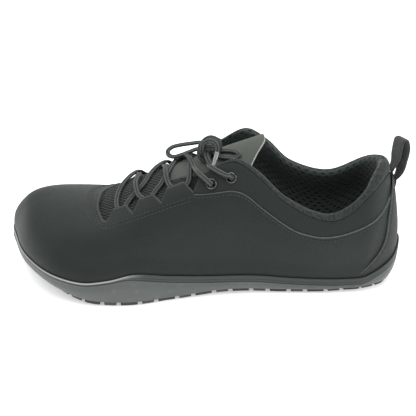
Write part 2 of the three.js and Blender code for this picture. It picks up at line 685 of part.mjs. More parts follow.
// Where the tongue's side lies against the inside of the upper; past the ears it stands free.
function tongueSide(x, outer) {
  const share = clamp(x / LENGTH, 0, NOTCHES[3][2]);
  const around = aroundAtEdge(share * LENGTH, outer);
  const underlap = lerp(PANEL_UNDERLAP, TAB_UNDERLAP, smooth(share, PANEL_END, TAB_START));
  const up = 1 - underlap / sectionAt(around).length;
  const point = offsetPoint(around, up, -wallAt(around, up) - TONGUE_GAP);
  const past = x - share * LENGTH;
  point.add(vec(past, (outer ? -FRONT_TAPER : FRONT_TAPER) * past, 0));
  const [side, height] = curveThrough(TONGUE_CROWN, x / LENGTH);
  const half = outer ? TONGUE_TOP_OUTER : -TONGUE_TOP_INNER;
  const free = vec(x, (side + half) * HALF_THROAT,
    (height - TONGUE_TOP_DROP) * INSTEP_HEIGHT);
  return point.lerp(free, 1 - smooth(x / LENGTH, TONGUE_BACK, TONGUE_FREE));
}

function tonguePoint(x, share) {
  const [side, height] = curveThrough(TONGUE_CROWN, x / LENGTH);
  const crown = vec(x, side * HALF_THROAT, height * INSTEP_HEIGHT);
  const edge = tongueSide(x, share > 0);
  const arch = Math.cos((Math.PI / 2) * Math.abs(share)) ** ARCH;
  const point = crown.clone().lerp(edge, Math.abs(share));
  point.z = lerp(edge.z, crown.z, arch);
  return point;
}

function tongueNormal(x, share) {
  const step = 1;
  const along = tonguePoint(x + step, share).sub(tonguePoint(x - step, share));
  const [a, b] = [clamp(share - 0.03, -1, 1), clamp(share + 0.03, -1, 1)];
  const across = tonguePoint(x, b).sub(tonguePoint(x, a));
  return along.cross(across).normalize();
}

function tongue() {
  const grid = (distance) => Array.from({ length: TONGUE_ROWS + 1 }, (_, i) => {
    return TONGUE_SHARES.map((share) => {
      const back = TONGUE_BACK + TONGUE_ROUND * Math.abs(share) ** 3;
      const x = LENGTH * lerp(back, TONGUE_FRONT, i / TONGUE_ROWS);
      return tonguePoint(x, share).addScaledVector(tongueNormal(x, share), distance);
    });
  });
  return sheetBetween(grid(0), grid(-TONGUE_THICKNESS));
}

// Laces: seven strands over the tongue and the runs behind tabs and eyelets, joined to one solid.

const LACE_SIDES = 8;
const CROSSING_SIDES = 6;
const LACE_STEP = 2.5;                  // length of a step along the lace, in diameters

// A round cord through its points.
function cordAlong(points, diameter = LACE, sides = LACE_SIDES) {
  const path = new THREE.CatmullRomCurve3(points, false, 'centripetal');
  const section = new THREE.Shape(Array.from({ length: sides }, (_, i) => {
    const turn = (2 * Math.PI * (i + 0.5)) / sides;
    return new THREE.Vector2(Math.cos(turn), Math.sin(turn)).multiplyScalar(diameter / 2);
  }));
  const steps = Math.max(4, Math.round(path.getLength() / (LACE_STEP * LACE)));
  return new THREE.ExtrudeGeometry(section, { steps, bevelEnabled: false, extrudePath: path });
}

// Point over the tongue: shares of LENGTH and HALF_THROAT, lifted by a number of lace diameters.
function overTongue([along, across, lift]) {
  const x = along * LENGTH;
  let low = -1;
  let high = 1;
  for (let i = 0; i < 24; i += 1) {
    const middle = (low + high) / 2;
    if (tonguePoint(x, middle).y < across * HALF_THROAT) low = middle;
    else high = middle;
  }
  return tonguePoint(x, low).addScaledVector(tongueNormal(x, low), lift * LACE);
}

// The three lace tabs on a side, front to back as shares of LENGTH, and the lace's place under them.
const TABS = [0.668, 0.604, 0.535];
const TAB_DEPTH = 3.6;                  // under the opening's edge
const TAB_GAP = 0.7;                    // from the tab's inside to the lace
const underTab = (tab, outer) =>
  panelPoint(outer, TABS[tab], TAB_DEPTH, -LEATHER - TAB_GAP - LACE / 2);

// Strands: the tab on the outer side, the one on the inner side, and between them the points over
// the tongue as along, across and lift.
const STRANDS = [
  [0, 1, [[0.687, 0.80, 0.70], [0.688, 0.48, 0.66], [0.681, 0.16, 0.70], [0.663, -0.24, 1.10],
    [0.648, -0.47, 1.60], [0.632, -0.74, 1.10]]],
  [1, 0, [[0.624, 0.80, 1.20], [0.632, 0.48, 1.64], [0.632, 0.04, 0.90], [0.640, -0.20, 0.66],
    [0.655, -0.55, 0.66], [0.680, -0.82, 0.66]]],
  [0, 2, [[0.649, 0.82, 0.66], [0.632, 0.62, 0.62], [0.617, 0.46, 0.62], [0.600, 0.08, 0.70],
    [0.586, -0.16, 1.00], [0.570, -0.50, 1.60], [0.555, -0.80, 1.10]]],
  [2, 0, [[0.552, 0.77, 1.10], [0.561, 0.42, 1.60], [0.568, 0.10, 0.90], [0.585, -0.36, 0.66],
    [0.612, -0.70, 0.62], [0.642, -0.86, 0.62]]],
  [2, 2, [[0.512, 0.80, 0.66], [0.508, 0.40, 0.66], [0.510, -0.10, 0.66], [0.512, -0.56, 0.66],
    [0.517, -0.80, 0.66]]],
];
// The last two strands cross from a tab to the front eyelet of the other side.
const FROM_OUTER_TAB = [[0.588, 0.82, 0.66], [0.575, 0.66, 0.66], [0.560, 0.34, 0.66],
  [0.540, -0.24, 1.00], [0.512, -0.52, 1.60], [0.488, -0.68, 1.50]];
const FROM_INNER_TAB = [[0.583, -0.82, 0.66], [0.560, -0.60, 0.90], [0.526, -0.20, 1.60],
  [0.506, 0.26, 1.66], [0.492, 0.56, 1.30]];
const ON_PANEL = 1.25 * LACE;           // a lace's middle where it lies on the panel, off the last
const PAST_EDGE = 4.4;                  // and past the opening's edge where it goes over that
const BEHIND_GAP = 1.1;                 // from the panel's inside to the lace that runs behind it

// The lace from the tongue over the panel's edge into the front eyelet, behind it to the back one,
// and out again towards the knot.
function panelRun(outer, fromTongue) {
  const [front, back] = EYELETS;
  const onAxis = ([along, depth], lift) => panelPoint(outer, along, depth, lift);
  const behind = ([along, depth], shift) => {
    const around = aroundAtEdge((along + shift) * LENGTH, outer);
    const up = 1 - depth / sectionAt(around).length;
    return offsetPoint(around, up, -wallAt(around, up) - BEHIND_GAP - LACE / 2);
  };
  const overEdge = ([along, depth]) => [panelPoint(outer, along + 0.018, -PAST_EDGE, -0.8),
    panelPoint(outer, along + 0.012, 0.2 * depth, ON_PANEL),
    panelPoint(outer, along + 0.004, 0.65 * depth, ON_PANEL), onAxis([along, depth], 2.4)];
  const into = [...fromTongue, ...overEdge(front), onAxis(front, 0), behind(front, 0)];
  const run = [behind(front, 0.002), behind(back, -0.002)];
  const out = [behind(back, 0), onAxis(back, 0), ...overEdge(back).reverse(),
    overTongue([0.446, outer ? 0.5 : -0.5, 1.6]), KNOT];
  return [into, run, out];
}

const KNOT = vec(0.467 * LENGTH, -0.06 * HALF_THROAT, 0.925 * INSTEP_HEIGHT);
const KNOT_CORE = 4.0;                  // radius

function laceCrossings() {
  const between = STRANDS.map(([outerTab, innerTab, over]) =>
    [underTab(outerTab, true), ...over.map(overTongue), underTab(innerTab, false)]);
  const toOuter = [underTab(1, false), ...FROM_INNER_TAB.map(overTongue)];
  const toInner = [underTab(1, true), ...FROM_OUTER_TAB.map(overTongue)];
  const paths = [...between, ...panelRun(true, toOuter), ...panelRun(false, toInner)];
  const joined = paths.map((path) => toSolid(cordAlong(path, LACE, CROSSING_SIDES)))
    .reduce((a, b) => a.add(b));
  return fromSolid(joined.subtract(knotSolid(CLEARANCE)));
}

// The knot: a small core with the wrap of the bow standing over it.
const WRAPS = [
  [[127.5, 3, 90.5], [125.5, 1, 95.5], [129.0, -3, 100.0], [133.5, -4, 101.0], [138.5, -2, 98.0],
    [139.5, 1, 93.0], [136.5, 2, 90.0]],
  [[129.5, 6, 88.5], [128.0, 4, 93.0], [130.5, 0, 97.0], [134.0, -1, 97.8], [137.0, 2, 95.0],
    [137.5, 4, 91.0], [134.5, 5, 88.5]],
];
const laceVec = ([x, y, z]) => vec(x, y, z);

function knotSolid(grow = 0) {
  const core = new THREE.IcosahedronGeometry(KNOT_CORE + grow, 1).translate(KNOT.x, KNOT.y, KNOT.z);
  return WRAPS.map((wrap) => toSolid(cordAlong(wrap.map(laceVec), LACE + 2 * grow)))
    .reduce((solid, wrap) => solid.add(wrap), toSolid(core));
}

// The free parts of the lace, from the knot outwards.
const FREE_LACES = {
  lace_loop_front: [[134, -4, 93.5], [141, -10, 95], [150, -13, 94.5], [158, -15, 92.5],
    [163.5, -13, 90.5], [164.5, -9, 89.5], [160, -5, 90], [152, -3, 91.3], [143, -1, 92],
    [135, 1, 92.5]],
  lace_loop_back: [[131, -2, 93], [124, 0, 95], [117, 3, 96], [111.5, 6, 95.5], [111, 9, 93.5],
    [115, 11, 91.8], [121, 9, 92.2], [130, 3, 92.5]],
  lace_end_outer: [[131.5, 1, 94.5], [128, 4, 98], [126, 8, 98], [126, 12, 95.8],
    [127.8, 15.5, 92.3], [129.8, 18.5, 88.8]],
  lace_end_inner: [[135, 2, 93], [138, 7, 94.3], [138, 11.5, 94], [136, 15.5, 92.3],
    [133.6, 18.8, 90]],
};

function biggestPiece(solid) {
  return solid.decompose().sort((a, b) => b.volume() - a.volume())[0];
}

// Pull loop: a strap of webbing, from the outside of the heel over the top and back to the rim.

const LOOP_RISE = 20;                   // how far the loop stands over the opening's edge
const LOOP_FEET = [0.62, 0.70, 0.78];   // up the section at the heel, of its sewn outer end
// The free part, over the top to the end at the rim: lengths along and up from the opening's edge,
// as shares of LOOP_RISE.
const LOOP_BEND = [[-0.345, -0.275], [-0.455, -0.05], [-0.545, 0.225], [-0.59, 0.50], [-0.565, 0.775],
  [-0.415, 0.98], [-0.245, 0.95], [-0.165, 0.75], [-0.13, 0.475], [-0.10, 0.225], [-0.065, -0.02]];

function pullLoop() {
  const outside = COUNTER_SEAT + COUNTER_LEATHER + CLEARANCE + WEBBING_THICKNESS / 2;
  const { edge } = stationAt(0);
  const path = new THREE.CatmullRomCurve3([
    ...LOOP_FEET.map((up) => offsetPoint(0, up, outside + 0.1)),
    ...LOOP_BEND.map(([along, up]) => vec(edge.x + along * LOOP_RISE, 0, edge.z + up * LOOP_RISE)),
  ]);
  const [half, thick] = [WEBBING_WIDTH / 2, WEBBING_THICKNESS / 2];
  const section = new THREE.Shape([[-half, -thick], [half, -thick], [half, thick], [-half, thick]]
    .map(([a, b]) => new THREE.Vector2(a, b)));
  return new THREE.ExtrudeGeometry(section, { steps: 30, bevelEnabled: false, extrudePath: path });
}

const rubber = new THREE.MeshStandardMaterial({ color: 0x3b403f, roughness: 0.55 });
const leather = new THREE.MeshStandardMaterial({ color: 0x2b2f2d, roughness: 0.75 });
const lining = new THREE.MeshStandardMaterial({ color: 0x1d2022, roughness: 0.95 });
const knit = new THREE.MeshStandardMaterial({ color: 0x2a2d2c, roughness: 0.95 });
const webbing = new THREE.MeshStandardMaterial({ color: 0x242727, roughness: 0.9 });
const laceCord = new THREE.MeshStandardMaterial({ color: 0x303433, roughness: 0.8 });
const ring = new THREE.MeshStandardMaterial({ color: 0x4a4e50, roughness: 0.3, metalness: 0.9 });

const shoe = new THREE.Group();
shoe.position.x = -HEEL_SEAT;

function addPiece(name, geometry, material) {
  const mesh = new THREE.Mesh(geometry, material);
  mesh.name = name;
  shoe.add(mesh);
  return mesh;
}

addPiece('outsole', outsole(), rubber);
addPiece('insole', insole(), lining);
addPiece('upper', upper(), leather);
addPiece('heel_counter', heelCounter(), leather);
addPiece('tongue', tongue(), knit);
addPiece('pull_loop', pullLoop(), webbing);
const ringGeometry = eyelet();
eyeletSeats().forEach((seat, i) => {
  const mesh = addPiece(`eyelet_${['outer', 'inner'][Math.floor(i / 2)]}_${(i % 2) + 1}`, ringGeometry, ring);
  mesh.applyMatrix4(seat);
});
addPiece('lace_crossings', laceCrossings(), laceCord);
addPiece('lace_knot', fromSolid(knotSolid()), laceCord);
const knotRoom = knotSolid(CLEARANCE);
Object.entries(FREE_LACES).forEach(([name, points]) => {
  const cord = toSolid(cordAlong(points.map(laceVec))).subtract(knotRoom);
  addPiece(name, fromSolid(biggestPiece(cord)), laceCord);
});

export default shoe;
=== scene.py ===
"""Looks of a minimalist lace-up sneaker, the left shoe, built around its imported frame.

Lengths in the tables and classes are millimetres from the back of the heel, +X towards the toe,
+Y towards the outer side of the foot and +Z up. Meshes are written in metres in the frame.
"""

from __future__ import annotations

import logging
import math
from dataclasses import dataclass, field
from enum import Enum
from functools import cached_property
from typing import Any, Callable, Iterable, Mapping, Sequence

import bpy
import numpy as np
from mathutils import Matrix


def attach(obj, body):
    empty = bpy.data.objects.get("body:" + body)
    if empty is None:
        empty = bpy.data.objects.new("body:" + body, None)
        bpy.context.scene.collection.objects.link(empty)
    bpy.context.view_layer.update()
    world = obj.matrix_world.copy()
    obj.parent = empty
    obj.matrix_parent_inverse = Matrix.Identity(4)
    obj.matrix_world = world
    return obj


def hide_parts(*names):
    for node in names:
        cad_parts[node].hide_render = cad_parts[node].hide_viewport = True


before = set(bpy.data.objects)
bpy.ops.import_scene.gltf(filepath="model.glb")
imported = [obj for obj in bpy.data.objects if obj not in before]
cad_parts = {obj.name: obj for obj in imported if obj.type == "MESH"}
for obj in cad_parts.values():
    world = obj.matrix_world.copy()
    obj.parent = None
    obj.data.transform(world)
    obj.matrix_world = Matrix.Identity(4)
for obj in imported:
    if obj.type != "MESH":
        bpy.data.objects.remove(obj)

Array = np.ndarray
Rows = Sequence[Sequence[float]]
LOG = logging.getLogger("sneaker")
MM = 0.001
UP = np.array([0.0, 0.0, 1.0])
SHOE_MIDDLE = np.array([0.1, 0.0, 0.04])
WHITE = (1.0, 1.0, 1.0)
# A distance to a cut edge beyond which nothing is rubbed and no painted edge highlight is laid any more.
FAR = 9.0

# One row for each section round the shoe, from the back of the heel over the outer side to the
# toe and back along the inner side, as shares: along, side, lip, under, edge along, edge side,
# edge height, foot out, foot up, edge out, edge up.
STATIONS = (
    (0.003, 0.00, 1.00, 0.10, 0.044, 0.00, 0.800, 0.00, 0.18, 0.03, -0.14),
    (0.028, 0.40, 0.73, 0.09, 0.055, 0.45, 0.803, 0.04, 0.20, 0.09, -0.17),
    (0.091, 0.59, 0.41, 0.07, 0.089, 0.97, 0.735, 0.14, 0.22, 0.15, -0.20),
    (0.140, 0.63, 0.37, 0.05, 0.139, 1.23, 0.603, 0.12, 0.18, 0.12, -0.17),
    (0.193, 0.66, 0.38, 0.03, 0.196, 1.34, 0.560, 0.11, 0.16, 0.10, -0.16),
    (0.277, 0.68, 0.42, 0.03, 0.284, 1.26, 0.672, 0.11, 0.19, 0.13, -0.18),
    (0.345, 0.70, 0.48, 0.04, 0.347, 1.11, 0.835, 0.11, 0.23, 0.18, -0.22),
    (0.400, 0.74, 0.51, 0.04, 0.402, 0.98, 0.926, 0.10, 0.26, 0.24, -0.24),
    (0.456, 0.79, 0.53, 0.03, 0.460, 1.00, 0.860, 0.08, 0.24, 0.28, -0.18),
    (0.554, 0.92, 0.64, 0.00, 0.554, 1.12, 0.766, 0.05, 0.22, 0.28, -0.12),
    (0.628, 1.03, 0.76, -0.03, 0.628, 1.12, 0.672, 0.02, 0.19, 0.28, -0.09),
    (0.690, 1.08, 0.64, -0.01, 0.678, 1.10, 0.608, 0.01, 0.19, 0.28, -0.08),
    (0.755, 1.09, 0.59, 0.05, 0.718, 0.96, 0.578, 0.00, 0.20, 0.36, -0.05),
    (0.835, 0.96, 0.70, 0.14, 0.736, 0.62, 0.592, 0.01, 0.20, 0.48, -0.03),
    (0.912, 0.58, 0.82, 0.13, 0.745, 0.26, 0.597, 0.02, 0.20, 0.68, -0.02),
    (0.965, 0.08, 0.86, 0.09, 0.747, 0.02, 0.593, 0.02, 0.20, 0.88, -0.01),
    (1.000, -0.40, 0.87, 0.07, 0.746, -0.22, 0.585, 0.02, 0.20, 1.00, -0.01),
    (0.974, -0.78, 0.84, 0.08, 0.739, -0.54, 0.570, 0.01, 0.20, 0.80, -0.02),
    (0.905, -0.95, 0.75, 0.09, 0.729, -0.78, 0.553, 0.00, 0.20, 0.60, -0.03),
    (0.820, -1.01, 0.67, 0.09, 0.718, -0.94, 0.545, 0.00, 0.20, 0.42, -0.05),
    (0.735, -1.00, 0.62, 0.06, 0.700, -1.05, 0.568, 0.00, 0.20, 0.30, -0.07),
    (0.656, -0.94, 0.62, 0.02, 0.656, -1.08, 0.626, 0.02, 0.20, 0.28, -0.09),
    (0.554, -0.80, 0.58, 0.01, 0.554, -1.02, 0.772, 0.06, 0.24, 0.24, -0.14),
    (0.456, -0.68, 0.55, 0.02, 0.456, -0.92, 0.888, 0.08, 0.27, 0.22, -0.20),
    (0.389, -0.65, 0.52, 0.03, 0.383, -0.98, 0.983, 0.08, 0.30, 0.20, -0.26),
    (0.330, -0.64, 0.47, 0.03, 0.326, -1.12, 0.885, 0.08, 0.26, 0.13, -0.22),
    (0.270, -0.64, 0.43, 0.03, 0.268, -1.24, 0.722, 0.08, 0.22, 0.09, -0.18),
    (0.179, -0.64, 0.38, 0.04, 0.172, -1.25, 0.645, 0.10, 0.18, 0.09, -0.16),
    (0.091, -0.57, 0.42, 0.06, 0.088, -0.92, 0.755, 0.12, 0.22, 0.14, -0.20),
    (0.028, -0.38, 0.73, 0.09, 0.053, -0.40, 0.802, 0.04, 0.20, 0.09, -0.17),
)

# The bottom's rise off the floor, as shares of the length and of the toe spring.
SPRING = ((0.000, 0.16), (0.035, 0.00), (0.300, 0.00), (0.420, 0.09), (0.530, 0.00), (0.700, 0.00),
          (0.755, 0.06), (0.807, 0.24), (0.877, 0.56), (0.947, 0.84), (1.000, 1.00))

# The collar panel's lower seam: length and height, as shares of length and instep height.
COLLAR_SEAM = ((0.000, 0.73), (0.040, 0.65), (0.060, 0.590), (0.085, 0.535), (0.138, 0.470),
               (0.190, 0.444), (0.225, 0.452), (0.269, 0.494), (0.333, 0.622), (0.375, 0.718),
               (0.405, 0.745), (0.440, 0.735), (0.475, 0.725), (0.502, 0.728))

# The notches along the opening, as shares of the length: back corner, bottom and front corner.
NOTCHES = ((0.480, 0.496, 0.516), (0.554, 0.567, 0.588), (0.619, 0.632, 0.652),
           (0.681, 0.697, 0.717))

# The rounded notch at the front of the throat: share of the length and share of the depth.
FRONT_NOTCH = ((0.681, 0.0), (0.6835, 0.50), (0.687, 0.86), (0.692, 1.0), (0.698, 0.96),
               (0.706, 0.62), (0.717, 0.18), (0.728, 0.0))

# How far the opening's edge is trimmed: share of the length and millimetres.
TRIM = ((0.465, 0.0), (0.505, 2.2), (0.700, 2.2), (0.722, 0.6), (0.740, -3.3), (0.760, -4.0))

# The heel counter's front edge: height and length, as shares of instep height and length.
COUNTER_EDGE = ((0.10, 0.145), (0.12, 0.125), (0.20, 0.094), (0.29, 0.069), (0.38, 0.057),
                (0.54, 0.052), (0.70, 0.0435), (0.85, 0.0375))

# The tongue's crown line, as shares of length, half throat and instep height.
TONGUE_CROWN = ((0.335, -0.20, 1.005), (0.420, -0.14, 0.925), (0.520, -0.06, 0.825),
                (0.620, 0.00, 0.725), (0.690, 0.00, 0.640), (0.735, 0.00, 0.572),
                (0.765, 0.00, 0.548))

# Places in a station's row.
LIP_X, LIP_Z, UNDER, EDGE_X, EDGE = 0, 2, 3, 4, slice(4, 7)
FOOT_OUT, FOOT_UP, EDGE_OUT, EDGE_UP = 7, 8, 9, 10


def unit(vectors: Array) -> Array:
    """Vectors of length one along the last axis."""
    return vectors / np.maximum(np.linalg.norm(vectors, axis=-1, keepdims=True), 1e-12)


def smooth(value: Array | float, low: float, high: float) -> Array:
    """Smooth step from 0 at low to 1 at high."""
    share = np.clip((np.asarray(value, float) - low) / (high - low), 0.0, 1.0)
    return share * share * (3.0 - 2.0 * share)


def mix(a: Any, b: Any, share: Any) -> Any:
    """The value a share of the way from a to b."""
    return a + (b - a) * share


def bell(distance: Array, width: float) -> Array:
    """A smooth bump of height 1 at distance 0 that fades over the width."""
    return np.exp(-((distance / width) ** 2))


def curve_through(rows: Rows | Array, place: Array | float, period: float = 0.0) -> Array:
    """Cubic curve through rows of a place and its values, with each row's own slope.

    Args:
        rows: A row for each known place: the place, then its values.
        place: Where the curve is read.
        period: The length after which the rows repeat, or 0.

    Returns:
        The values at each place, one more axis than place has.
    """
    table = np.asarray(rows, float)
    wanted = np.asarray(place, float)
    if period:
        wanted = np.mod(wanted, period)
        before, after = table[-1:].copy(), table[:2].copy()
        before[:, 0] -= period
        after[:, 0] += period
        table = np.vstack([before, table, after])
        last = len(table) - 3
    else:
        wanted = np.clip(wanted, table[0, 0], table[-1, 0])
        table = np.vstack([table[:1], table, table[-1:]])
        last = len(table) - 3
    places, values = table[:, 0], table[:, 1:]
    i = np.clip(np.searchsorted(places[1:-1], wanted, side="right"), 1, last)
    span = (places[i + 1] - places[i])[..., None]
    t = (wanted - places[i])[..., None] / span
    start = (values[i + 1] - values[i - 1]) / (places[i + 1] - places[i - 1])[..., None] * span
    end = (values[i + 2] - values[i]) / (places[i + 2] - places[i])[..., None] * span
    return ((2 * t**3 - 3 * t**2 + 1) * values[i] + (t**3 - 2 * t**2 + t) * start
            + (3 * t**2 - 2 * t**3) * values[i + 1] + (t**3 - t**2) * end)


def distances(points: Array) -> Array:
    """Distance walked up to each point along the second last axis, from 0."""
    steps = np.linalg.norm(np.diff(points, axis=-2), axis=-1)
    return np.concatenate([np.zeros((*steps.shape[:-1], 1)), np.cumsum(steps, axis=-1)], axis=-1)


def halve(near: Array, far: Array, short: Callable[[Array], Array], turns: int) -> tuple[Array, Array]:
    """Narrows ranges by halves, down to where a condition stops to hold.

    Args:
        near: Places where it holds.
        far: Places where it no longer does.
        short: Whether it holds at given places.
        turns: How often the ranges are halved.

    Returns:
        The near and the far ends of the narrowed ranges.
    """
    for _ in range(turns):
        middle = (near + far) / 2
        holds = short(middle)
        near, far = np.where(holds, middle, near), np.where(holds, far, middle)
    return near, far


def rounded_path(points: Rows | Array, step: float) -> Array:
    """Centripetal curve through points, sampled evenly.

    Args:
        points: The points that it passes through.
        step: About the distance between two samples.

    Returns:
        The samples, first and last point among them.
    """
    given = np.asarray(points, float)
    ends = np.vstack([2 * given[0] - given[1], given, 2 * given[-1] - given[-2]])
    pieces = []
    for i in range(1, len(ends) - 2):
        p0, p1, p2, p3 = ends[i - 1:i + 3]
        t01, t12, t23 = (math.sqrt(np.linalg.norm(b - a)) for a, b in ((p0, p1), (p1, p2), (p2, p3)))
        start = p2 - p1 + t12 * ((p1 - p0) / t01 - (p2 - p0) / (t01 + t12))
        end = p2 - p1 + t12 * ((p3 - p2) / t23 - (p3 - p1) / (t12 + t23))
        t = np.linspace(0.0, 1.0, 24, endpoint=False)[:, None]
        pieces.append((2 * t**3 - 3 * t**2 + 1) * p1 + (t**3 - 2 * t**2 + t) * start
                      + (3 * t**2 - 2 * t**3) * p2 + (t**3 - t**2) * end)
    dense = np.vstack([*pieces, given[-1:]])
    walked = distances(dense)
    marks = np.linspace(0.0, walked[-1], max(3, round(walked[-1] / step)))
    return np.stack([np.interp(marks, walked, dense[:, k]) for k in range(3)], axis=1)


def path_length(path: Array) -> float:
    """Length of a line through points."""
    return float(np.linalg.norm(np.diff(path, axis=0), axis=1).sum())


@dataclass(frozen=True)
class Last:
    """Sizes of the last and of the cup that holds it, with the formulas of their shape."""

    length: float = 285.0
    half_ball: float = 50.0
    half_throat: float = 25.0
    instep_height: float = 100.0
    lip_height: float = 30.0
    heel_seat: float = 38.0
    fan: float = 15.0
    lip: float = 2.6
    lug_height: float = 3.0
    plate: float = 4.0
    toe_spring: float = 12.5
    leather: float = 1.9
    overlap: float = 1.0
    inner_overlap: float = 0.5
    collar_pad: float = 7.0
    pad_depth: float = 26.0
    notch_depth: float = 11.0
    lip_show: float = 1.05
    clearance: float = 0.3
    cup_gap: float = 0.6
    tuck: float = 1.0
    pad_start: float = 0.34
    pad_end: float = 0.43

    @cached_property
    def ring(self) -> Array:
        """Rows of distance round the lip and the station's sizes."""
        scales = [self.length, self.half_ball, self.lip_height, self.half_ball, self.length,
                  self.half_throat, self.instep_height, self.half_ball, self.instep_height,
                  self.half_ball, self.instep_height]
        sizes = np.asarray(STATIONS) * np.asarray(scales)
        steps = np.linalg.norm(np.roll(sizes[:, :2], -1, axis=0) - sizes[:, :2], axis=1)
        walked = np.concatenate([[0.0], np.cumsum(steps)])
        return np.column_stack([walked[:-1], sizes])

    @cached_property
    def around(self) -> float:
        """Distance once round the lip."""
        ring = self.ring
        return float(ring[-1, 0] + np.linalg.norm(ring[0, 1:3] - ring[-1, 1:3]))

    @cached_property
    def toe_around(self) -> float:
        """Distance round the lip to the tip of the toe."""
        return float(self.ring[np.argmax(self.ring[:, 1]), 0])

    @cached_property
    def inner_vamp_seam(self) -> float:
        """Where the vamp ends on the inner side."""
        return float(self.around_at(EDGE_X, NOTCHES[3][1] * self.length, False)[0])

    def station(self, around: Array | float) -> Array:
        """The station's sizes at distances round the lip."""
        return curve_through(self.ring, around, self.around)

    def outward(self, around: Array | float) -> Array:
        """Unit vectors out of the shoe in plan, square to the lip."""
        a, b = self.station(np.asarray(around) - 0.5), self.station(np.asarray(around) + 0.5)
        return unit(np.stack([a[..., 1] - b[..., 1], b[..., 0] - a[..., 0],
                              np.zeros(a.shape[:-1])], axis=-1))

    def spring(self, x: Array | float) -> Array:
        """Height of the tread over the floor."""
        return np.maximum(0.0, curve_through(SPRING, np.asarray(x) / self.length)[..., 0]) \
            * self.toe_spring

    def bed(self, x: Array | float) -> Array:
        """Height of the foot bed in the cup."""
        return self.spring(x) + self.lug_height + self.plate

    def around_at(self, column: int, x: Array | float, outer: bool) -> Array:
        """Distance round the lip where a station's place along the shoe is reached.

        Args:
            column: LIP_X or EDGE_X.
            x: The wanted places along the shoe.
            outer: Which side is walked.

        Returns:
            A distance for each place.
        """
        wanted = np.atleast_1d(np.asarray(x, float))
        near, far = halve(np.full(wanted.shape, 0.0 if outer else self.around),
                          np.full(wanted.shape, self.toe_around),
                          lambda around: self.station(around)[..., column] < wanted, 40)
        return (near + far) / 2

    def along_edge(self, share: Array | float, outer: bool) -> "Sections":
        """The sections whose opening's edge is at shares of the length."""
        return Sections(self, self.around_at(EDGE_X, share * self.length, outer))

    def visible_lip(self, around: Array) -> Array:
        """Width of the lip that the leather leaves free."""
        along = self.station(around)[..., LIP_X] / self.length
        return mix(self.lip_show, 0.7 * self.lip_show, smooth(along, 0.75, 0.92))

    def notch(self, share: Array) -> Array:
        """How far the opening's edge is cut down at shares of the length along the edge."""
        trim = curve_through(TRIM, share)[..., 0]
        depth = np.interp(share, *np.transpose(FRONT_NOTCH))
        for back, bottom, front in NOTCHES[:3]:
            depth = np.maximum(depth, np.interp(share, [back, bottom, front], [0.0, 1.0, 0.0]))
        return trim + depth * (self.notch_depth - np.maximum(trim, 0.0))

    def on_panel(self, outer: bool, along: float, depth: float, lift: float) -> Array:
        """Point of the upper under the opening's edge, lifted off the last."""
        walk = self.along_edge(along, outer)
        return walk.offset(1 - depth / walk.length[:, None], lift)[0, 0]


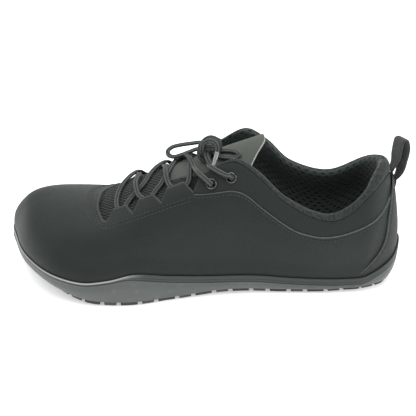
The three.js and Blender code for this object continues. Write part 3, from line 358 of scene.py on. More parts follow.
class Sections:
    """Sections of the upper at distances round the lip, with ways to walk up them."""

    SAMPLES = 97
    TURN = 0.8
    RISE = 0.01

    def __init__(self, last: Last, around: Array | Iterable[float]) -> None:
        """Lays out the sections.

        Args:
            last: The last that they belong to.
            around: Their distances round the lip.
        """
        self.last = last
        self.around = np.atleast_1d(np.asarray(around, float))
        self.station = last.station(self.around)
        self.out = last.outward(self.around)
        inset = last.lip + last.cup_gap + last.overlap
        foot = self.station[:, :3] - self.out * inset
        end = self.station[:, EDGE]
        lean = (foot - end) * [1.0, 1.0, 0.0] + self.out * last.fan
        first = foot + self.out * self.station[:, [FOOT_OUT]] + UP * self.station[:, [FOOT_UP]]
        second = end + unit(lean) * self.station[:, [EDGE_OUT]] + UP * self.station[:, [EDGE_UP]]
        self.handles = np.stack([foot, first, second, end], axis=1)
        self.foot = foot
        self.low = foot - self.out * last.tuck
        self.low[:, 2] = last.bed(self.low[:, 0]) + last.clearance
        self.samples = np.linspace(0.0, 1.0, self.SAMPLES)
        walked = distances(self._at(np.tile(self.samples, (len(self.around), 1))))
        self.length = walked[:, -1]
        self.shares = walked / self.length[:, None]

    def _at(self, t: Array) -> Array:
        """Points of the sections' curves at their own parameter."""
        weights = np.stack([(1 - t)**3, 3 * t * (1 - t)**2, 3 * t**2 * (1 - t), t**3], axis=-1)
        return np.einsum("nrk,nkc->nrc", weights, self.handles)

    @cached_property
    def beside(self) -> tuple["Sections", "Sections"]:
        """The sections just before and just after these."""
        return (Sections(self.last, self.around - self.TURN),
                Sections(self.last, self.around + self.TURN))

    @cached_property
    def edge_share(self) -> Array:
        """Place of the opening's edge along the shoe, as a share of its length."""
        return self.station[:, EDGE_X] / self.last.length

    @cached_property
    def edge_up(self) -> Array:
        """Share of each section at which the opening's edge is cut."""
        return 1.0 - self.last.notch(self.edge_share) / self.length

    @cached_property
    def seam_up(self) -> Array:
        """Share of each section at which the collar panel's seam crosses it."""
        tab_seam = 0.72 * self.edge_up

        def below(up: Array) -> Array:
            """Whether the sections are still under the seam's line."""
            point = self.points(up[:, None])[:, 0]
            line = curve_through(COLLAR_SEAM, point[:, 0] / self.last.length)[:, 0]
            return point[:, 2] < line * self.last.instep_height

        low, _ = halve(np.full(self.around.shape, 0.05), np.ones(self.around.shape), below, 24)
        seam = np.minimum(low, self.edge_up - 1.4 / self.length)
        ends = smooth(self.edge_share, NOTCHES[0][1], NOTCHES[0][2])
        return np.where(self.edge_share >= NOTCHES[0][2], tab_seam, mix(seam, tab_seam, ends))

    def points(self, up: Array) -> Array:
        """Points of the bare last, shares of the way up; below 0 they go down into the cup."""
        up = np.broadcast_to(up, (len(self.around), np.shape(up)[-1]))
        lane = 2.0 * np.arange(len(self.around))[:, None]
        t = np.interp((np.clip(up, 0, 1) + lane).ravel(), (self.shares + lane).ravel(),
                      np.tile(self.samples, len(self.around))).reshape(up.shape)
        tangent = unit(self.handles[:, 3] - self.handles[:, 2])
        below, beyond = np.clip(-up, 0, None), np.clip(up - 1, 0, None) * self.length[:, None]
        return (self._at(t) + (self.low - self.foot)[:, None] * below[..., None]
                + tangent[:, None] * beyond[..., None])

    def normals(self, up: Array) -> Array:
        """Unit vectors out of the last at shares of the way up."""
        before, after = self.beside
        along = after.points(up) - before.points(up)
        climb = self.points(up + self.RISE) - self.points(up - self.RISE)
        return unit(np.cross(climb, along))

    def offset(self, up: Array, distance: Array | float) -> Array:
        """Points lifted off the last by a distance."""
        lift = np.broadcast_to(distance, (len(self.around), np.shape(up)[-1]))
        return self.points(up) + self.normals(up) * lift[..., None]

    def wall(self, up: Array) -> Array:
        """Thickness of the upper, with the collar's padding."""
        last = self.last
        padding = 1 - smooth(self.edge_share, last.pad_start, last.pad_end)[:, None]
        below = (self.edge_up[:, None] - up) * self.length[:, None]
        return mix(last.leather, last.collar_pad,
                   padding * smooth(last.pad_depth - below, 0, last.pad_depth))

    def bulge(self, up: Array) -> Array:
        """How far the leather swells over the lip of the cup, most at the toe."""
        last = self.last
        toe = smooth(self.foot[:, 0] / last.length, 0.72, 0.92)[:, None]
        room = last.lip + last.cup_gap - last.visible_lip(self.around)[:, None] - 0.15
        return room * (1 - smooth(up * self.length[:, None], 0.5, mix(13.0, 26.0, toe)))

    def layer(self, above_seam: bool) -> Array:
        """How far the outer leather stands off the last, below or above the collar seam."""
        over = np.where(self.around > self.last.inner_vamp_seam, self.last.inner_overlap,
                        self.last.overlap)
        return np.where(self.edge_share < NOTCHES[0][1], 0.0, over) if above_seam else over


def to_frame(points: Array) -> Array:
    """Millimetres from the back of the heel as metres in the frame."""
    return (np.asarray(points, float) - [Last.heel_seat, 0.0, 0.0]) * MM


def grid_faces(columns: int, rows: int, round_columns: bool = False,
               round_rows: bool = False) -> Array:
    """Four-cornered faces of a grid of points that is stored column by column.

    Args:
        columns: Number of columns.
        rows: Points in a column.
        round_columns: Whether the last column joins the first.
        round_rows: Whether the last row joins the first.

    Returns:
        An array of faces with four places each.
    """
    c, r = np.meshgrid(np.arange(columns - (not round_columns)),
                       np.arange(rows - (not round_rows)), indexing="ij")
    d, s = (c + 1) % columns, (r + 1) % rows
    return np.stack([c * rows + r, d * rows + r, d * rows + s, c * rows + s], -1).reshape(-1, 4)


def tube_faces(loops: int, girth: int) -> list[Sequence[int]]:
    """Faces between loops of points, with both ends closed."""
    ends = [list(range(girth)), list(range(loops * girth - 1, (loops - 1) * girth - 1, -1))]
    return grid_faces(loops, girth, round_rows=True).tolist() + ends


def linked(name: str, data: bpy.types.ID) -> bpy.types.Object:
    """A new object around its data, in the scene."""
    thing = bpy.data.objects.new(name, data)
    bpy.context.scene.collection.objects.link(thing)
    return thing


def linked_mesh(name: str, points: Array, edges: Sequence = (), faces: Sequence = ()) -> bpy.types.Object:
    """A new mesh object in the scene, from points in metres."""
    mesh = bpy.data.meshes.new(name)
    mesh.from_pydata(points.tolist(), edges, faces)
    return linked(name, mesh)


def carry(mesh: bpy.types.Mesh, name: str, vectors: Array) -> None:
    """Lets each point of a mesh carry a vector under a name."""
    mesh.attributes.new(name, "FLOAT_VECTOR", "POINT").data.foreach_set(
        "vector", vectors.astype(np.float32).ravel())


def grid_corners(across: Array, along: Array) -> Array:
    """Map places of a grid's face corners, from a grid one larger than its faces each way."""
    uv = np.stack(np.broadcast_arrays(across, along), axis=-1)
    return np.stack([uv[:-1, :-1], uv[1:, :-1], uv[1:, 1:], uv[:-1, 1:]], 2).reshape(-1, 2)


@dataclass
class Shell:
    """A mesh before it is made: points in millimetres, faces, and what they carry."""

    points: Array
    faces: list[Sequence[int]]
    finish: Array | None = None
    corners: Array | None = None
    marks: dict[str, Array] = field(default_factory=dict)

    @staticmethod
    def join(shells: Sequence["Shell"]) -> "Shell":
        """One shell from several, which keep their faces' finishes and map places."""
        starts = np.concatenate([[0], np.cumsum([len(s.points) for s in shells])])
        faces = [tuple(i + start for i in face)
                 for shell, start in zip(shells, starts) for face in shell.faces]
        finish = np.concatenate([np.zeros(len(s.faces), int) if s.finish is None else s.finish
                                 for s in shells])
        corners = None
        if any(s.corners is not None for s in shells):
            corners = np.vstack([s.corners if s.corners is not None
                                 else np.zeros((sum(map(len, s.faces)), 2)) for s in shells])
        marks = {name: np.concatenate([s.marks.get(name, np.zeros(len(s.points))) for s in shells])
                 for name in {name for s in shells for name in s.marks}}
        return Shell(np.vstack([s.points for s in shells]), faces, finish, corners, marks)

    def build(self, name: str, finishes: Sequence[bpy.types.Material]) -> bpy.types.Object:
        """Makes the object, with faces turned outwards and smooth shading.

        Args:
            name: The piece's name.
            finishes: The materials that the faces' finishes count through.

        Returns:
            The linked object.
        """
        piece = linked_mesh(name, to_frame(self.points), faces=self.faces)
        mesh = piece.data
        if self.finish is not None:
            mesh.polygons.foreach_set("material_index", np.asarray(self.finish, np.int32))
        if self.corners is not None:
            layer = mesh.uv_layers.new(name="UVMap")
            layer.data.foreach_set("uv", (self.corners * MM).astype(np.float32).ravel())
        for mark, values in self.marks.items():
            mesh.attributes.new(mark, "FLOAT", "POINT").data.foreach_set(
                "value", np.asarray(values, np.float32).ravel())
        for material in finishes:
            mesh.materials.append(material)
        mesh.calc_loop_triangles()
        corners = np.zeros(len(mesh.loop_triangles) * 3, np.int32)
        mesh.loop_triangles.foreach_get("vertices", corners)
        a, b, c = (self.points[corners.reshape(-1, 3)[:, k]] for k in range(3))
        if np.einsum("ij,ij->i", a, np.cross(b, c)).sum() < 0:
            mesh.flip_normals()
        mesh.polygons.foreach_set("use_smooth", np.ones(len(mesh.polygons), bool))
        mesh.update()
        return piece


def sheet_shell(front: Array, back: Array, uv: tuple[Array, Array] | None = None,
                finish: Array | None = None) -> Shell:
    """A sheet between two grids of points, closed round its border.

    Args:
        front: Outer points, columns by rows.
        back: Inner points of the same size.
        uv: Map places of the grid, in millimetres.
        finish: A finish for each face of the front; the back and border take the nearest.

    Returns:
        The closed shell.
    """
    columns, rows = front.shape[:2]
    other = columns * rows
    faces = grid_faces(columns, rows)
    ring = np.concatenate([np.arange(columns) * rows, (columns - 1) * rows + np.arange(1, rows),
                           np.arange(columns - 2, -1, -1) * rows + rows - 1,
                           np.arange(rows - 2, 0, -1)])
    following = np.roll(ring, -1)
    border = np.stack([following, ring, ring + other, following + other], axis=1)
    all_faces = np.vstack([faces, faces[:, ::-1] + other, border])
    corners = None
    if uv is not None:
        across, along = (np.broadcast_to(k, (columns, rows)).ravel() for k in uv)
        flat = np.column_stack([np.tile(across, 2), np.tile(along, 2)])
        corners = flat[all_faces.ravel()]
    marks = None
    if finish is not None:
        near = np.clip(ring // rows, 0, columns - 2), np.clip(ring % rows, 0, rows - 2)
        marks = np.concatenate([finish.ravel(), finish.ravel(), finish[near]])
    return Shell(np.vstack([front.reshape(-1, 3), back.reshape(-1, 3)]), all_faces.tolist(),
                 marks, corners)


def tube_shell(path: Array, section: Array, facing: Array, scale: Array | float = 1.0,
               finish: Array | None = None) -> Shell:
    """A cord along a path, with closed ends.

    Args:
        path: Evenly spaced points of its middle line.
        section: Outline as across and off the surface under it.
        facing: Which way it faces at each point, or one way for all.
        scale: Scale of the outline at each point.
        finish: A finish for each stretch of the path.

    Returns:
        The closed shell, mapped with its girth across and its length along.
    """
    tangents = unit(np.gradient(path, axis=0))
    wanted = np.broadcast_to(facing, path.shape)
    facings = np.zeros_like(path)
    current = unit(np.cross(np.cross(tangents[0], wanted[0]), tangents[0]))
    for i, (tangent, want) in enumerate(zip(tangents, wanted)):
        current = unit(current - tangent * (current @ tangent))
        square = want - tangent * (want @ tangent)
        pull = 0.3 * np.linalg.norm(square)
        side = 1.0 if square @ current >= 0 else -1.0
        current = unit(current * (1 - pull) + square * side * pull)
        facings[i] = current
    sides = np.cross(tangents, facings)
    sizes = np.broadcast_to(scale, (len(path),))[:, None, None]
    loops = path[:, None] + sizes * (section[None, :, :1] * sides[:, None]
                                     + section[None, :, 1:] * facings[:, None])
    count, girth = loops.shape[:2]
    faces = tube_faces(count, girth)
    turned = distances(np.vstack([section, section[:1]]))
    corners = np.vstack([grid_corners(turned[None, :], distances(path)[:, None]),
                         np.zeros((2 * girth, 2))])
    marks = np.zeros(len(faces), int)
    if finish is not None:
        marks[:-2] = np.repeat(finish[:-1], girth)
        marks[-2:] = finish[0], finish[-1]
    # Marks the lace's two ribs for the painted highlight on them and the painted shade between.
    half = np.abs(section[:, 0]).max()
    ridge = bell(np.abs(section[:, 0]) - 0.56 * half, 0.27 * half)
    return Shell(loops.reshape(-1, 3), faces, marks, corners, {"ridge": np.tile(ridge, count)})


Setting = Mapping[str, Any]


class Graph:
    """A shader tree as it is drawn, with short ways to add nodes and join sockets."""

    def __init__(self, tree: bpy.types.NodeTree) -> None:
        """Starts on a tree."""
        self.tree = tree

    def feed(self, socket: bpy.types.NodeSocket, value: Any) -> None:
        """Joins a socket to another one, or sets its value."""
        if isinstance(value, bpy.types.Node):
            value = value.outputs[0]
        if isinstance(value, bpy.types.NodeSocket):
            self.tree.links.new(value, socket)
        else:
            socket.default_value = value

    def add(self, kind: str, settings: Setting | None = None, **inputs: Any) -> bpy.types.Node:
        """Adds a node.

        Args:
            kind: Its type name.
            settings: Its own properties.
            inputs: Its sockets by name, with _ for a space.

        Returns:
            The node.
        """
        node = self.tree.nodes.new(kind)
        for name, value in (settings or {}).items():
            setattr(node, name, value)
        self.fill(node, **inputs)
        return node

    def fill(self, node: bpy.types.Node, **inputs: Any) -> None:
        """Feeds a node's sockets by name, with _ for a space."""
        for name, value in inputs.items():
            self.feed(node.inputs[name.replace("_", " ")], value)

    def noise(self, place: Any, scale: Any, detail: float, **inputs: Any) -> bpy.types.Node:
        """Adds cloudy noise."""
        return self.add("ShaderNodeTexNoise", Vector=place, Scale=scale, Detail=detail, **inputs)

    def group(self, tree: bpy.types.NodeTree, **inputs: Any) -> bpy.types.Node:
        """Adds a shared shader group."""
        return self.add("ShaderNodeGroup", {"node_tree": tree}, **inputs)

    def carried(self, name: str) -> bpy.types.NodeSocket:
        """A number that the mesh carries under a name."""
        return self.add("ShaderNodeAttribute", {"attribute_name": name}).outputs["Fac"]

    def vectors(self, name: str) -> bpy.types.NodeSocket:
        """The vectors that the points carry under a name."""
        return self.add("GeometryNodeInputNamedAttribute", {"data_type": "FLOAT_VECTOR"},
                        Name=name).outputs["Attribute"]

    def bump(self, height: Any, depth: float, strength: float = 1.0) -> bpy.types.Node:
        """Adds a fine relief of a depth in metres."""
        return self.add("ShaderNodeBump", Strength=strength, Distance=depth, Height=height)

    def math(self, operation: str, *values: Any) -> bpy.types.NodeSocket:
        """Adds a number node and returns its result."""
        node = self.add("ShaderNodeMath", {"operation": operation})
        for socket, value in zip(node.inputs, values):
            self.feed(socket, value)
        return node.outputs[0]

    def vector(self, operation: str, *values: Any) -> bpy.types.NodeSocket:
        """Adds a vector node and returns its result, a number for a dot product."""
        node = self.add("ShaderNodeVectorMath", {"operation": operation})
        for socket, value in zip(node.inputs, values):
            self.feed(socket, value)
        return node.outputs["Value" if operation in ("DOT_PRODUCT", "LENGTH") else "Vector"]

    def spread(self, value: Any, low: float, high: float, to_low: float = 0.0,
               to_high: float = 1.0) -> bpy.types.NodeSocket:
        """Maps a number from one range to another, held inside it."""
        node = self.add("ShaderNodeMapRange")
        for place, entry in enumerate((value, low, high, to_low, to_high)):
            self.feed(node.inputs[place], entry)
        return node.outputs[0]

    def blend(self, share: Any, a: Any, b: Any) -> bpy.types.NodeSocket:
        """Mixes two colours."""
        node = self.add("ShaderNodeMix", {"data_type": "RGBA"})
        for socket, value in zip((node.inputs[0], node.inputs[6], node.inputs[7]), (share, a, b)):
            self.feed(socket, value)
        return node.outputs[2]


def shared(name: str, inputs: Setting, outputs: Sequence[str]) -> tuple[Graph, Any, Any] | None:
    """Starts a shared shader group.

    Args:
        name: Its name.
        inputs: Its inputs, a tuple for a vector or a number.
        outputs: Its outputs, all numbers.

    Returns:
        The graph with its input and output nodes, or None where the group is there already.
    """
    if name in bpy.data.node_groups:
        return None
    tree = bpy.data.node_groups.new(name, "ShaderNodeTree")
    for label, value in inputs.items():
        kind = "NodeSocketVector" if isinstance(value, tuple) else "NodeSocketFloat"
        tree.interface.new_socket(name=label, in_out="INPUT", socket_type=kind).default_value = value
    for label in outputs:
        tree.interface.new_socket(name=label, in_out="OUTPUT", socket_type="NodeSocketFloat")
    graph = Graph(tree)
    return graph, graph.add("NodeGroupInput"), graph.add("NodeGroupOutput")


def grain_group() -> bpy.types.NodeTree:
    """Fine pores and folds of leather or rubber skin: Height and Pores."""
    begun = shared("fine_grain", {"Vector": (0.0, 0.0, 0.0), "Cell": 0.001}, ("Height", "Pores"))
    if begun:
        graph, given, result = begun
        place = given.outputs["Vector"]
        scale = graph.math("DIVIDE", 1.0, given.outputs["Cell"])
        shift = graph.vector("SCALE", graph.noise(place, scale, 2.0).outputs["Color"])
        graph.fill(shift.node, Scale=0.0009)
        cells = graph.add("ShaderNodeTexVoronoi", {"feature": "DISTANCE_TO_EDGE"},
                          Vector=graph.vector("ADD", place, shift), Scale=scale)
        dust = graph.noise(place, graph.math("MULTIPLY", scale, 2.7), 3.0)
        folds = graph.spread(cells.outputs["Distance"], 0.0, 0.22)
        height = graph.math("ADD", graph.math("MULTIPLY", folds, 0.7),
                            graph.math("MULTIPLY", dust, 0.5))
        graph.fill(result, Height=height, Pores=graph.math("SUBTRACT", 1.0, folds))
    return bpy.data.node_groups["fine_grain"]


def patch_group() -> bpy.types.NodeTree:
    """Soft uneven tone over a surface: Fac from 0 to 1."""
    begun = shared("soft_patches", {"Vector": (0.0, 0.0, 0.0), "Size": 0.04}, ("Fac",))
    if begun:
        graph, given, result = begun
        scale = graph.math("DIVIDE", 1.0, given.outputs["Size"])
        broad = graph.noise(given.outputs["Vector"], scale, 4.0, Roughness=0.55)
        graph.fill(result, Fac=graph.spread(broad, 0.3, 0.7))
    return bpy.data.node_groups["soft_patches"]


def rubbed_and_highlit_edge_group() -> bpy.types.NodeTree:
    """Rubbed rim along a cut edge, with a painted highlight where the edge catches light, from the
    distance to it: Mask.
    """
    begun = shared("rubbed_edge", {"Vector": (0.0, 0.0, 0.0), "Distance": FAR, "Width": 0.8},
                   ("Mask",))
    if begun:
        graph, given, result = begun
        noise = graph.noise(given.outputs["Vector"], 420.0, 3.0)
        uneven = graph.math("MULTIPLY_ADD", noise, 0.8, 0.6)
        near = graph.math("DIVIDE", given.outputs["Distance"],
                          graph.math("MULTIPLY", given.outputs["Width"], uneven))
        graph.fill(result, Mask=graph.spread(near, 0.0, 1.0, 1.0, 0.0))
    return bpy.data.node_groups["rubbed_edge"]


class Weave(Enum):
    """How a fabric is made."""

    HONEYCOMB = "honeycomb"
    ZIGZAG = "zigzag"
    TWILL = "twill"
    BRAID = "braid"
    RIB = "rib"
    JERSEY = "jersey"


def wave(graph: Graph, turns: Any) -> bpy.types.NodeSocket:
    """A smooth wave from 0 to 1, once for each turn."""
    angle = graph.math("MULTIPLY", turns, 2 * math.pi)
    return graph.math("MULTIPLY_ADD", graph.math("COSINE", angle), 0.5, 0.5)


def weave_group(weave: Weave) -> bpy.types.NodeTree:
    """The relief of a fabric over its map, with the pitch across and along: Height."""
    name = f"weave_{weave.value}"
    begun = shared(name, {"Map": (0.0, 0.0, 0.0), "Across": 0.002, "Along": 0.002}, ("Height",))
    if not begun:
        return bpy.data.node_groups[name]
    graph, given, result = begun
    parts = graph.add("ShaderNodeSeparateXYZ", Vector=given.outputs["Map"])
    u = graph.math("DIVIDE", parts.outputs[0], given.outputs["Across"])
    v = graph.math("DIVIDE", parts.outputs[1], given.outputs["Along"])
    if weave is Weave.HONEYCOMB:
        half = graph.math("MULTIPLY", u, 0.5)
        waves = [wave(graph, v), wave(graph, graph.math("MULTIPLY_ADD", v, 0.5, half)),
                 wave(graph, graph.math("MULTIPLY_ADD", v, -0.5, half))]
        total = graph.math("ADD", graph.math("ADD", waves[0], waves[1]), waves[2])
        height = graph.spread(total, 1.5, 2.6, 1.0, 0.0)
    elif weave is Weave.ZIGZAG:
        bend = graph.math("PINGPONG", v, 0.5)
        height = wave(graph, graph.math("MULTIPLY_ADD", bend, 1.3, u))
    elif weave is Weave.TWILL:
        height = graph.math("MULTIPLY", wave(graph, graph.math("ADD", u, v)),
                            wave(graph, graph.math("MULTIPLY", v, 2.0)))
    elif weave is Weave.BRAID:
        height = graph.math("MAXIMUM", wave(graph, graph.math("ADD", u, v)),
                            wave(graph, graph.math("SUBTRACT", u, v)))
    elif weave is Weave.RIB:
        height = graph.math("MULTIPLY", wave(graph, u),
                            graph.math("MULTIPLY_ADD", wave(graph, v), 0.25, 0.75))
    else:
        shift = graph.math("MULTIPLY_ADD", wave(graph, u), 0.35, v)
        height = graph.math("MULTIPLY", wave(graph, u), wave(graph, shift))
    graph.fill(result, Height=height)
    return bpy.data.node_groups[name]


Colour = tuple[float, float, float]


def opaque(colour: Colour) -> tuple[float, float, float, float]:
    """A colour as a shader takes it."""
    return (*colour, 1.0)


@dataclass(frozen=True)
class Finish:
    """What every finish has: a name, a deep and a light tone, and a gloss."""

    name: str
    deep: Colour
    light: Colour
    roughness: float = 0.6

    def start(self) -> tuple[Graph, bpy.types.Material, bpy.types.Node, bpy.types.NodeSocket]:
        """A new material with its shader, and the place of a surface point in the frame."""
        material = bpy.data.materials.new(self.name)
        material.use_nodes = True
        material.node_tree.nodes.clear()
        graph = Graph(material.node_tree)
        shader = graph.add("ShaderNodeBsdfPrincipled", Roughness=self.roughness)
        graph.add("ShaderNodeOutputMaterial", Surface=shader)
        place = graph.add("ShaderNodeTexCoord").outputs["Object"]
        return graph, material, shader, place

    def tone(self, graph: Graph, place: Any, size: float) -> bpy.types.NodeSocket:
        """The two tones in soft patches."""
        patches = graph.group(patch_group(), Vector=place, Size=size)
        return graph.blend(patches, opaque(self.deep), opaque(self.light))


@dataclass(frozen=True)
class Leather(Finish):
    """Smooth matt leather with fine grain, paler along a cut edge: partly rubbing, partly a painted
    highlight where the edge catches light.
    """

    cell: float = 0.0011
    relief: float = 0.00006
    # Pale tone of the rim along a cut edge: rubbed leather and painted highlight.
    edge: Colour = (0.11, 0.125, 0.117)
    sheen: float = 0.04
    gloss: float = 0.28

    def build(self) -> bpy.types.Material:
        """The material."""
        graph, material, shader, place = self.start()
        tone = self.tone(graph, place, 0.045)
        grain = graph.group(grain_group(), Vector=place, Cell=self.cell)
        # Paler rim along cut edges: partly rubbing, partly a painted highlight where the edge catches
        # light.
        rubbed = graph.group(rubbed_and_highlit_edge_group(), Vector=place, Distance=graph.carried("to_edge"), Width=0.75)
        tone = graph.blend(graph.math("MULTIPLY", grain.outputs["Pores"], 0.22), tone,
                           opaque(tuple(0.5 * c for c in self.deep)))
        height = grain.outputs["Height"]
        graph.fill(shader, Specular_IOR_Level=self.gloss, Sheen_Weight=self.sheen,
                   Sheen_Roughness=0.5, Sheen_Tint=(0.8, 0.85, 0.8, 1.0),
                   Base_Color=graph.blend(graph.math("MULTIPLY", rubbed, 0.5), tone,
                                          opaque(self.edge)),
                   Roughness=graph.spread(height, 0.2, 1.0, self.roughness + 0.08,
                                          self.roughness - 0.05),
                   Normal=graph.bump(height, self.relief))
        return material


@dataclass(frozen=True)
class CutEdge(Finish):
    """The raw fibrous side of cut leather, paler than its face and lightened further as a painted
    highlight where the edge catches light.
    """

    def build(self) -> bpy.types.Material:
        """The material."""
        graph, material, shader, place = self.start()
        fibres = graph.noise(place, 1500.0, 3.0)
        graph.fill(shader, Normal=graph.bump(fibres, 0.00012, 0.8), Base_Color=graph.blend(
            graph.spread(fibres, 0.35, 0.65), opaque(self.deep), opaque(self.light)))
        return material


@dataclass(frozen=True)
class Rubber(Finish):
    """Moulded rubber with a fine eroded skin and a little dust, with painted shade in the groove under the
    bead and on the tread, and a painted highlight on the bead.
    """

    dust: Colour = (0.16, 0.165, 0.155)
    # Dark tone of the lip's band behind the forefoot, and painted shade in the groove under the bead.
    band: Colour = (0.022, 0.028, 0.027)
    shade: Colour = (0.012, 0.014, 0.014)
    # Painted highlight along the bead's top.
    bead: Colour = (0.26, 0.27, 0.26)

    def build(self) -> bpy.types.Material:
        """The material."""
        graph, material, shader, place = self.start()
        tone = self.tone(graph, place, 0.06)
        height = graph.group(grain_group(), Vector=place, Cell=0.0007).outputs["Height"]
        specks = graph.noise(place, 260.0, 5.0)
        tone = graph.blend(graph.spread(specks, 0.56, 0.8, 0.0, 0.35), tone, opaque(self.dust))
        # Lays the band with the groove's painted shade, the tread's painted shade and the bead's painted
        # highlight over the rubber's tone.
        for mark, colour in (("band", self.band), ("tread", self.shade), ("bead", self.bead)):
            tone = graph.blend(graph.carried(mark), tone, opaque(colour))
        graph.fill(shader, Base_Color=tone, Normal=graph.bump(height, 0.00003),
                   Roughness=graph.spread(height, 0.2, 1.0, self.roughness + 0.06,
                                          self.roughness - 0.06))
        return material


@dataclass(frozen=True)
class Fabric(Finish):
    """A knit, mesh, webbing or braid that follows the piece's own map; its colour is darker in the weave's
    hollows and lighter on its raised threads, as painted shade and highlight.
    """

    weave: Weave = Weave.JERSEY
    across: float = 0.002
    along: float = 0.002
    relief: float = 0.0004
    sheen: float = 0.15
    speckle: float = 0.15
    ridged: bool = False

    def build(self) -> bpy.types.Material:
        """The material."""
        graph, material, shader, place = self.start()
        weave = graph.group(weave_group(self.weave), Across=self.across, Along=self.along,
                            Map=graph.add("ShaderNodeUVMap", {"uv_map": "UVMap"}))
        height = graph.math("MULTIPLY_ADD", graph.noise(place, 1800.0, 2.0), 0.25, weave)
        patches = graph.group(patch_group(), Vector=place, Size=0.03)
        specks = graph.spread(graph.noise(place, 750.0, 2.0), 0.35, 0.65)
        uneven = graph.math("MULTIPLY_ADD", specks, self.speckle,
                            graph.math("MULTIPLY", patches, 0.1))
        # The weave's relief sets the colour too: painted shade in its hollows and painted highlight on its
        # raised threads, over speckle and patches that vary at random.
        lit = graph.math("MULTIPLY_ADD", weave, 0.9 - self.speckle, uneven)
        # A lace is also lightened on its two ribs and darkened between them: painted highlight and shade.
        if self.ridged:
            ridge = graph.math("MULTIPLY_ADD", graph.carried("ridge"), 0.9, 0.1)
            lit = graph.math("MULTIPLY", lit, ridge)
        graph.fill(shader, Sheen_Weight=self.sheen, Sheen_Roughness=0.4, Specular_IOR_Level=0.2,
                   Base_Color=graph.blend(lit, opaque(self.deep), opaque(self.light)),
                   Normal=graph.bump(height, self.relief, 0.9))
        return material


@dataclass(frozen=True)
class Metal(Finish):
    """Blackened metal, paler where it is rubbed."""

    metallic: float = 0.85

    def build(self) -> bpy.types.Material:
        """The material."""
        graph, material, shader, place = self.start()
        scratches = graph.noise(place, 900.0, 4.0)
        graph.fill(shader, Metallic=self.metallic,
                   Base_Color=graph.blend(graph.spread(scratches, 0.4, 0.7), opaque(self.deep),
                                          opaque(self.light)),
                   Roughness=graph.spread(scratches, 0.3, 0.7, self.roughness - 0.06,
                                          self.roughness + 0.08))
        return material


@dataclass(frozen=True)
class Thread(Finish):
    """Twisted sewing thread."""

    def build(self) -> bpy.types.Material:
        """The material."""
        graph, material, shader, place = self.start()
        graph.fill(shader, Base_Color=self.tone(graph, place, 0.004))
        return material


LEATHER = Leather("quarter_leather", (0.0062, 0.0110, 0.0098), (0.0092, 0.0140, 0.0126), 0.58)
PANEL_LEATHER = Leather("collar_leather", (0.0072, 0.0114, 0.0103), (0.0102, 0.0144, 0.0131), 0.62)
COUNTER_LEATHER = Leather("counter_leather", (0.015, 0.018, 0.017), (0.024, 0.027, 0.025), 0.66,
                          cell=0.0007, relief=0.0001)
TONGUE_LEATHER = Leather("tongue_leather", (0.046, 0.055, 0.046), (0.064, 0.073, 0.062), 0.66,
                         cell=0.0008, gloss=0.4)
# Cut edges in pale tones: the raw edge's own colour together with a painted highlight along it.
RAW_EDGE_AND_HIGHLIGHT = CutEdge("cut_leather_edge", (0.040, 0.046, 0.043), (0.115, 0.127, 0.120), 0.8)
PALE_EDGE_AND_HIGHLIGHT = CutEdge("pale_leather_edge", (0.20, 0.21, 0.195), (0.42, 0.43, 0.40), 0.8)
RUBBER = Rubber("sole_rubber", (0.065, 0.074, 0.072), (0.083, 0.092, 0.089), 0.5)
RIM_FABRIC = Fabric("rim_fabric", (0.009, 0.012, 0.012), (0.042, 0.051, 0.049), 0.9,
                    weave=Weave.JERSEY, across=0.0013, along=0.0013, relief=0.0003, speckle=0.55)
LINING = Fabric("honeycomb_lining", (0.013, 0.017, 0.018), (0.050, 0.062, 0.059), 0.95,
                weave=Weave.HONEYCOMB, across=0.0031, along=0.0027, relief=0.0005, sheen=0.2)
BED_FABRIC = Fabric("bed_fabric", (0.008, 0.010, 0.012), (0.020, 0.025, 0.027), 0.95,
                    weave=Weave.JERSEY, across=0.0016, along=0.0016)
KNIT = Fabric("zigzag_knit", (0.005, 0.007, 0.0065), (0.045, 0.051, 0.047), 0.9,
              weave=Weave.ZIGZAG, across=0.0024, along=0.0029, relief=0.0005, speckle=0.1)
ELASTIC = Fabric("ribbed_elastic", (0.003, 0.004, 0.004), (0.022, 0.027, 0.025), 0.9,
                 weave=Weave.RIB, across=0.0010, along=0.0022, relief=0.0006)
WEBBING = Fabric("loop_webbing", (0.028, 0.031, 0.030), (0.100, 0.106, 0.102), 0.85,
                 weave=Weave.TWILL, across=0.0011, along=0.0014, relief=0.0003)
LACE_BRAID = Fabric("lace_braid", (0.008, 0.010, 0.010), (0.125, 0.138, 0.128), 0.8,
                    weave=Weave.BRAID, across=0.0012, along=0.0018, relief=0.0002, ridged=True)
AGLET = Metal("aglet", (0.33, 0.34, 0.33), (0.42, 0.43, 0.42), 0.2, metallic=0.8)
RING_METAL = Metal("ring_metal", (0.045, 0.050, 0.052), (0.150, 0.158, 0.159), 0.2)
THREAD = Thread("seam_thread", (0.012, 0.015, 0.014), (0.032, 0.037, 0.035), 0.7)


_made: dict[str, bpy.types.Material] = {}


def material_of(finish: Any) -> bpy.types.Material:
    """The material of a finish, built once."""
    if finish.name not in _made:
        _made[finish.name] = finish.build()
    return _made[finish.name]


def settle(piece: bpy.types.Object, slot: str, *nodes: str) -> bpy.types.Object:
    """Puts a piece on its body, hides the imported parts that it replaces and logs its size."""
    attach(piece, "root")
    if nodes:
        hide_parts(*nodes)
    mesh = piece.data
    LOG.info("%s: %d points, %d faces", piece.name, len(mesh.vertices), len(mesh.polygons))
    return piece


def place_at(thing: bpy.types.Object, *axes_and_place: Array) -> None:
    """Turns an object's own axes to three directions and moves it to a place."""
    matrix = np.eye(4)
    matrix[:3] = np.column_stack(axes_and_place)
    thing.matrix_world = Matrix(matrix.tolist())


